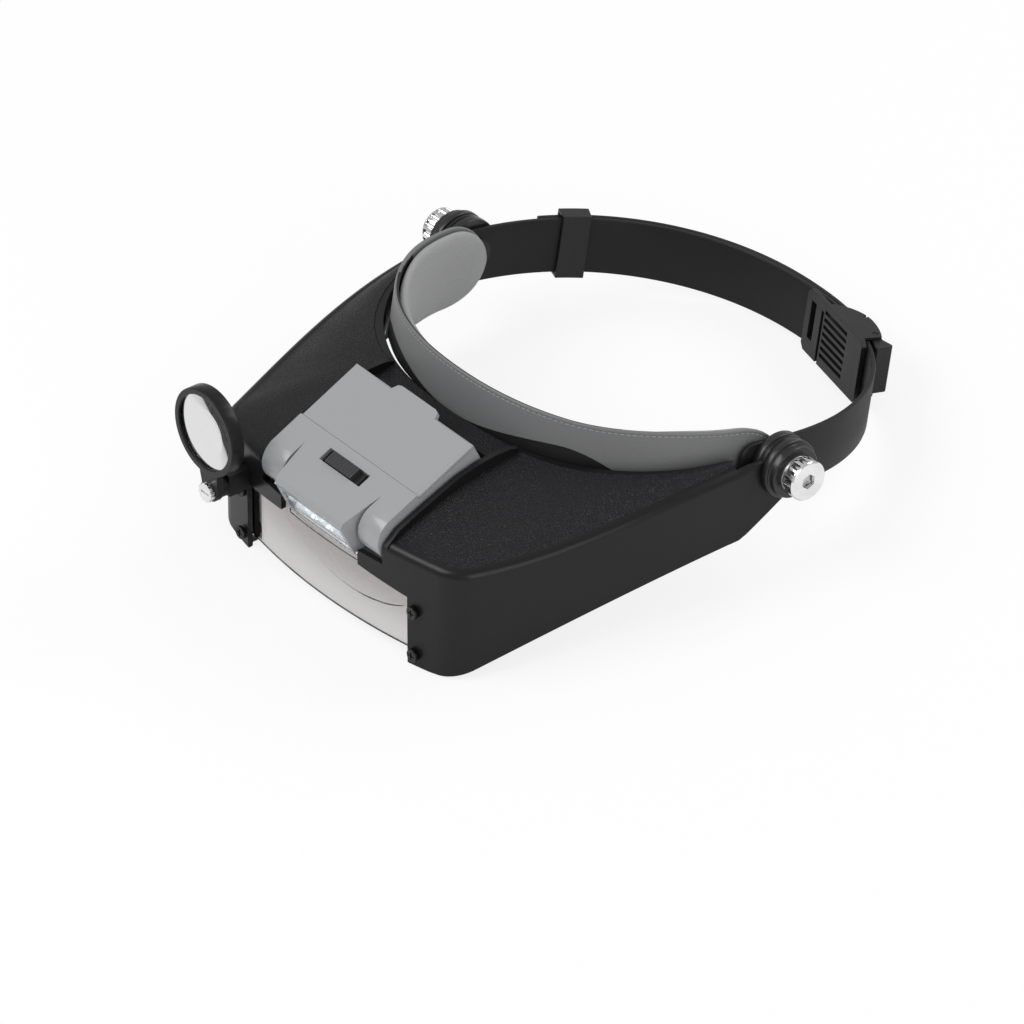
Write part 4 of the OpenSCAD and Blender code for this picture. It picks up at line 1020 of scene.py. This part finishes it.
first_bend = math.radians(1)
left_angles = spread(first_bend, TAIL_END, 110)
strap_left = skin("strap_left_strip", strap_rings(left_angles, left_offset, 1), BAND)
right_angles = spread(math.pi - first_bend, RIGHT_END, 80)
strap_right = skin("strap_right_strip", strap_rings(right_angles, lambda angle: 0.0, -1), BAND)
for piece, node in ((strap_left, "strap_left"), (strap_right, "strap_right")):
    smooth(piece.data, 40)
    finish_piece(piece, "headband", "strap_black", node)
    tell_faces(piece)

# %% [markdown]
# ## Visor shell
# The visor is one moulding. Seen from above, its side walls curve gently in to tight front
# corners, its front is slightly bowed, and its roof runs back to a hollow that clears the
# brow band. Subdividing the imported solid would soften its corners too, so a denser skin is made
# from the same curves, and highlights run over it without a break.

# %% Visor outline
WALL = 2.0
SIDE_R = 298
BOW_R = 236
VISOR_FRONT = 126.1
CORNER_R = 14
ARM_OUT = 86.3
LOFT_START = 19

SIDE_C = Vector((ARM_OUT - SIDE_R, 0))
FRONT_C = Vector((0, BOW_R - VISOR_FRONT))
apart = FRONT_C - SIDE_C
reach_a, reach_b = SIDE_R - CORNER_R, BOW_R - CORNER_R
along = (reach_a**2 - reach_b**2 + apart.length**2) / (2 * apart.length)
across = math.sqrt(reach_a**2 - along**2)
way = apart.normalized()
CORNER_C = SIDE_C + way * along + Vector((way[1], -way[0])) * across


def heading(centre, at):
    return math.atan2(at[1] - centre[1], at[0] - centre[0])


def arc(centre, radius, start, end, steps):
    for a in spread(start, end, steps):
        n = Vector((math.cos(a), math.sin(a)))
        yield centre + n * radius, n


side_end = heading(SIDE_C, CORNER_C)
front_end = heading(FRONT_C, CORNER_C)
half = list(arc(SIDE_C, SIDE_R, -math.asin(LOFT_START / SIDE_R), side_end, 40))
half += list(arc(CORNER_C, CORNER_R, side_end, front_end, 22))[1:]
half += list(arc(FRONT_C, BOW_R, front_end, -math.pi / 2, 30))[1:]
mirrored = [(Vector((-p[0], p[1])), Vector((-n[0], n[1]))) for p, n in reversed(half[:-1])]
OUTLINE = half + mirrored
print("visor outline has", len(OUTLINE), "stations")

# %% Visor heights
# The roof's outer edge falls towards the front, the skirt falls further, and the rim of the
# hollow rises in the middle. The skirt stops just above the floor that the visor rests on.
RIDGE_TOP = 5.2
RIDGE_DROP = 12.4
RIDGE_FLAT = 7
RIDGE_BEND = 1.2
SKIRT_LOW = 21.4
SKIRT_FALL = 28.8
SKIRT_FLAT = 3.8
FOOT_GAP = 0.03
RIM_Z = 6.3
RIM_RISE = 1.7
RIM_RISE_HALF = 60
RIM_A = BROW_HALF_W + 2.5
RIM_B = BROW_FRONT + 0.9
ON_AXIS = 0.001


def ridge(y):
    k = min(1, max(0, -y) / (VISOR_FRONT - RIDGE_FLAT)) ** RIDGE_BEND
    return RIDGE_TOP - RIDGE_DROP * math.sin(math.pi / 2 * k) ** 2


def floor_line(y):
    return FOOT_GAP - (VISOR[2][1] * y + VISOR[2][3] / MM) / VISOR[2][2]


def skirt(y):
    return max(-SKIRT_LOW - SKIRT_FALL * (y / (VISOR_FRONT - SKIRT_FLAT)) ** 2, floor_line(y))


def rim_height(x):
    return RIM_Z + RIM_RISE * math.cos(math.pi / 2 * min(1, abs(x) / RIM_RISE_HALF)) ** 2


def rim_point(p):
    if abs(p[0]) < ON_AXIS:
        return Vector((0.0, -oval(RIM_A, RIM_B, math.pi / 2)[1]))
    k = (-p[1] / abs(p[0])) * RIM_A / RIM_B
    q = oval(RIM_A, RIM_B, math.atan(k ** (LOOP_SQUARE / 2)))
    return Vector((math.copysign(q[0], p[0]), -q[1]))


# %% Visor section
# One section runs from the skirt up the wall, round the edge, over the crowned roof to the
# smooth lip of the rim, down the rim's flange and back inside.
EDGE_F = 3.2
EDGE_POINTS = 10
LIP_R = 0.5
FLANGE_H = 10
ROOF_STEPS = 16
CROWN_SIDE, CROWN_MIDDLE = 0.8, 4
LEAST_FACING = 0.5
LIP_LEAST, LIP_MORE = 0.7, 2.6
LIP_FROM, LIP_SPAN = 22, 58
LIP_STEP, LIP_DROP = 0.3, 0.25
RIM_CORNER = [(0.2, 0.3), (0.0, 0.7)]


def rim_lip(x):
    return LIP_LEAST + LIP_MORE * math.sin(math.pi * min(1, max(0, (abs(x) - LIP_FROM) / LIP_SPAN)))


def hood_ring(o, n):
    r = rim_point(o)
    e = (r - o).normalized()
    c = 1 / max(LEAST_FACING, -n.dot(e))
    zl, zr, zm = skirt(o[1]), ridge(o[1]), rim_height(r[0])
    crown = mix(CROWN_SIDE, CROWN_MIDDLE, math.cos(math.pi / 2 * min(1, abs(o[0]) / ARM_OUT)) ** 2)
    inner, rim_in = o + e * WALL * c, r - e * WALL
    edge = o + e * EDGE_F * c
    lip = rim_lip(r[0])
    ring = [(*(o + e * LIP_R * c), zl), (*o, zl + LIP_R)]
    for i in range(EDGE_POINTS):
        a = math.radians(90 * i / (EDGE_POINTS - 1))
        p = o + e * EDGE_F * c * (1 - math.cos(a))
        ring.append((*p, zr - EDGE_F * (1 - math.sin(a))))
    for k in range(1, ROOF_STEPS + 1):
        q = k / ROOF_STEPS
        p = edge.lerp(r - e * lip, q)
        ring.append((*p, mix(zr, zm, q) + crown * math.sin(math.pi * q)))
    ring.append((*(r - e * (lip - LIP_STEP)), zm - LIP_DROP))
    for inward, down in RIM_CORNER:
        ring.append((*(r - e * inward), zm - down))
    ring.append((*r, zm - FLANGE_H))
    ring.append((*rim_in, zm - FLANGE_H))
    ring.append((*rim_in, zm - WALL))
    for k in range(ROOF_STEPS - 1, 0, -1):
        q = k / ROOF_STEPS
        p = inner.lerp(rim_in, q)
        ring.append((*p, mix(zr, zm, q) + crown * math.sin(math.pi * q) - WALL))
    ring.append((*inner, zr - EDGE_F))
    ring.append((*inner, zl + LIP_R))
    ring.append((*(o + e * (WALL - LIP_R) * c), zl))
    return ring


# %% Visor skin
ROOF_STRIPS = range(1 + EDGE_POINTS, 1 + EDGE_POINTS + ROOF_STEPS)
shell = skin("visor_shell", [hood_ring(p, n) for p, n in OUTLINE], VISOR, ROOF_STRIPS)
shell.data.materials.append(FINISH["visor_black"])
shell.data.materials.append(FINISH["visor_grain"])
tell_faces(shell)

# %% [markdown]
# ## Cutting the window and the lamp's channel
# The openings could be left out of the skin, but their edges cross its rings. They are cut the
# way a mould's slides shape them: a cutter body is drawn for each and taken away. The arms and
# the lamp's tray are drawn as plates and joined on.


# %% Plates and cutters
def prism(name, outline, low, high, matrix, axis="X"):
    count = len(outline)
    points = []
    for level in (low, high):
        for u, v in outline:
            p = (level, u, v) if axis == "X" else (u, level, v)
            points.append(matrix @ (Vector(p) * MM))
    faces = [tuple(range(count)), tuple(2 * count - 1 - i for i in range(count))]
    for i in range(count):
        k = (i + 1) % count
        faces.append((i, count + i, count + k, k))
    return closed_mesh(name, points, faces)


def combine(obj, tool, operation):
    step = obj.modifiers.new(operation.lower(), "BOOLEAN")
    step.operation = operation
    step.object = tool
    step.solver = "EXACT"
    ready = obj.evaluated_get(bpy.context.evaluated_depsgraph_get())
    new = bpy.data.meshes.new_from_object(ready)
    old = obj.data
    obj.modifiers.remove(step)
    obj.data = new
    bpy.data.meshes.remove(old)
    bpy.data.objects.remove(tool)


def rectangle(u0, u1, v0, v1):
    return [(u0, v0), (u1, v0), (u1, v1), (u0, v1)]


# %% Window and lamp channel
WINDOW_HALF = 42.8
WINDOW_TOP = 23.6
LIP_GAP_HALF = 20.4
WINDOW_MID_TOP = 21.2
LIP_TOP = 15.8
TRAY_IN = 32
TRAY_REAR = -79.03
CUT_LOW, CUT_MID, CUT_HIGH = -70, 30, 40
CUT_FROM = -VISOR_FRONT - 4
CUT_BACK = -VISOR_FRONT + 11.5

window = [(-WINDOW_HALF, CUT_LOW), (-WINDOW_HALF, -WINDOW_TOP)]
window += [(-LIP_GAP_HALF, -WINDOW_MID_TOP), (-LIP_GAP_HALF, CUT_MID)]
window += [(-x, z) for x, z in reversed(window)]
combine(shell, prism("cut_window", window, CUT_FROM, CUT_BACK, VISOR, "Y"), "DIFFERENCE")
channel = rectangle(CUT_FROM, TRAY_REAR, -LIP_TOP, CUT_HIGH)
combine(shell, prism("cut_channel", channel, -TRAY_IN, TRAY_IN, VISOR), "DIFFERENCE")
tell_faces(shell)

# %% Tray sides, floor and flip lens lugs
TRAY_OUT = TRAY_IN + 2.2
TRAY_REACH = TRAY_IN + 1
FLIP_LUG_IN, FLIP_LUG_OUT = 42.6, 45.0
front = -(VISOR_FRONT - 2.6)
tray_side = [
    (front, -8.2), (-118.5, -3.8), (-110, 0), (-101, 3.7), (-93.5, 6.6), (-86, 8.4), (-79, 9.2),
    (-73, 9.2), (-69.2, 8.2), (-69.2, 2), (TRAY_REAR, 0.2),
    (-112.6, -17), (-119.5, -19.4), (front, -16),
]
flip_lug = [(-114, -26.3), (-108, -26.3), (-108, -4.25), (-114, -6.35)]
plates = [(tray_side, TRAY_IN, TRAY_OUT), (flip_lug, FLIP_LUG_IN, FLIP_LUG_OUT)]
for side in (-1, 1):
    for plate, inner, outer in plates:
        low, high = sorted((side * inner, side * outer))
        combine(shell, prism("plate", plate, low, high, VISOR), "UNION")
tray_floor = rectangle(9.2, 38.35, -8.4, -6.8)
combine(shell, prism("tray_floor", tray_floor, -TRAY_REACH, TRAY_REACH, LAMP), "UNION")
tray_back = rectangle(TRAY_REAR, TRAY_REAR + WALL, 0.2, 6.5)
combine(shell, prism("tray_back", tray_back, -TRAY_REACH, TRAY_REACH, VISOR), "UNION")
tell_faces(shell)

# %% Arm outline
# Each arm carries on from the side wall and ends in a round boss at the pivot. Its top edge
# keeps the roof's rounding where the two meet, and sharpens towards the boss.
BOSS_R = 10.2
ARM_T = 1.98
ARM_INSET = 0.01
ARM_START = -22
ARM_HEEL = -16.2
ARM_FOOT = -11.6
ARM_RISE = 0.9
ARM_BLEND = 3
ARM_SHARPEN = 9
ARM_EDGE_R = 0.9
ARM_TURN = 0.4
ARM_EDGE_POINTS = 9


def arm_x(y):
    return SIDE_C[0] + math.sqrt(SIDE_R**2 - min(0, y) ** 2)


def boss_share(y):
    return math.sqrt(max(0.0, 1 - (y / BOSS_R) ** 2))


def arm_top(y):
    return max(ridge(y), BOSS_R * boss_share(y)) if y < 0 else BOSS_R * boss_share(y)


def arm_low(y):
    if y < ARM_HEEL:
        return skirt(y) + ARM_RISE * ease((y - ARM_START - ARM_BLEND) / ARM_BLEND)
    if y < 0:
        return mix(skirt(ARM_HEEL) + ARM_RISE, ARM_FOOT, (y - ARM_HEEL) / -ARM_HEEL)
    return ARM_FOOT * boss_share(y)


# %% Arm skins
BOSS_JOIN = 0.86
BOSS_FROM, BOSS_TO = 30.7, 174


def arm_ring(y, side):
    outer = side * (arm_x(y) - ARM_INSET)
    top, low = arm_top(y) - ARM_INSET, arm_low(y) + ARM_INSET
    radius = mix(EDGE_F, ARM_EDGE_R, ease((y - ARM_START - ARM_BLEND) / ARM_SHARPEN))
    ring = [(outer - side * ARM_TURN, y, low), (outer, y, low + ARM_TURN)]
    for k in range(ARM_EDGE_POINTS):
        inset = ARM_T * (k / (ARM_EDGE_POINTS - 1)) ** 1.5
        drop = radius - math.sqrt(max(0.0, radius**2 - (radius - min(inset, radius)) ** 2))
        ring.append((outer - side * inset, y, top - drop))
    ring.append((outer - side * ARM_T, y, low + ARM_TURN))
    ring.append((outer - side * (ARM_T - ARM_TURN), y, low))
    return ring


arm_ys = [mix(ARM_START, -BOSS_R * BOSS_JOIN, i / 30) for i in range(30)]
arm_ys += [-BOSS_R * math.cos(math.radians(turn)) for turn in spread(BOSS_FROM, BOSS_TO, 44)]
for side in (-1, 1):
    combine(shell, skin("arm", [arm_ring(y, side) for y in arm_ys], VISOR), "UNION")
tell_faces(shell)

# %% [markdown]
# ## Finishing the visor
# The roof's strips already carry the leather-like grain, and all the rest stays smooth. The
# cutting left sharp corners. Rounding every edge would spoil the skin's thin strips, so a narrow
# bevel breaks only the edges that turn far.

# %% Visor edges
weld_points(shell, 0.000002)
round_edges(shell, 0.25, 2, 40)
smooth(shell.data, 32)
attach(shell, "visor")
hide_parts("visor_hood")
print("grained faces:", sum(face.material_index for face in shell.data.polygons))

# %% [markdown]
# ## Front lens
# The front lens is a bowed sheet of smoky acrylic behind the front wall. A piece cut from a ring
# would have facets that bend what shows through, so it is one long skin across the face. A notch
# in its top edge lets the lamp's head tilt, and tabs at its ends are clamped behind the columns.

# %% Bowed lens
LENS_OUT_R = BOW_R - WALL - 0.3
LENS_IN_R = LENS_OUT_R - 2.4
LENS_LOW, LENS_TAB_LOW = -45, -48.5
LENS_TOP, LENS_DIP = -19.5, -21.9
DIP_HALF, TAB_IN, LENS_HALF = 18.6, 43.6, 50
LENS_EDGE = 0.2
STEP = 0.02


def lens_ring(x, low, top):
    front_y = FRONT_C[1] - math.sqrt(LENS_OUT_R**2 - x * x)
    back_y = FRONT_C[1] - math.sqrt(LENS_IN_R**2 - x * x)
    e = LENS_EDGE
    profile = [(front_y, low + e), (front_y, top - e), (front_y + e, top), (back_y - e, top)]
    profile += [(back_y, top - e), (back_y, low + e), (back_y - e, low), (front_y + e, low)]
    return [(x, y, z) for y, z in profile]


half_lens = [(i * DIP_HALF / 20, LENS_LOW, LENS_DIP) for i in range(21)]
half_lens += [(x, LENS_LOW, LENS_TOP) for x in spread(DIP_HALF + STEP, TAB_IN, 30)]
half_lens += [(x, LENS_TAB_LOW, LENS_TOP) for x in spread(TAB_IN + STEP, LENS_HALF, 8)]
stations = [(-x, low, top) for x, low, top in reversed(half_lens[1:])] + half_lens
lens = skin("front_lens_sheet", [lens_ring(*s) for s in stations], VISOR)
smooth(lens.data, 30)
finish_piece(lens, "visor", "front_clear", "front_lens")
tell_faces(lens)

# %% [markdown]
# ## Loupe lens
# Both faces of the small lens bulge. A flattened ball would end in a knife edge, so rings run
# from the middle of one face over a flat rim to the other, close enough for round reflections.

# %% Domed lens
LOUPE_AT = (-45.5, -135.9, 0.8)
LOUPE_LENS_R = 14.1
LOUPE_HUB_R = 0.2
LOUPE_EDGE = 1.4
LOUPE_BULGE = 1.1
LOUPE_SIDES = 96
LOUPE_RINGS = 18
cap_r = (LOUPE_LENS_R**2 + LOUPE_BULGE**2) / (2 * LOUPE_BULGE)


def loupe_ring(radius, side):
    rise = LOUPE_EDGE / 2 + LOUPE_BULGE - cap_r + math.sqrt(cap_r**2 - radius**2)
    ring = []
    for i in range(LOUPE_SIDES):
        a = 2 * math.pi * i / LOUPE_SIDES
        x, z = radius * math.cos(a), radius * math.sin(a)
        ring.append((LOUPE_AT[0] + x, LOUPE_AT[1] + side * rise, LOUPE_AT[2] + z))
    return ring


radii = [LOUPE_HUB_R] + [LOUPE_LENS_R * i / LOUPE_RINGS for i in range(1, LOUPE_RINGS + 1)]
rings = [loupe_ring(r, -1) for r in radii] + [loupe_ring(r, 1) for r in reversed(radii)]
loupe = skin("loupe_lens_dome", rings, VISOR)
smooth(loupe.data, 40)
finish_piece(loupe, "loupe", "loupe_clear", "loupe_lens")
tell_faces(loupe)
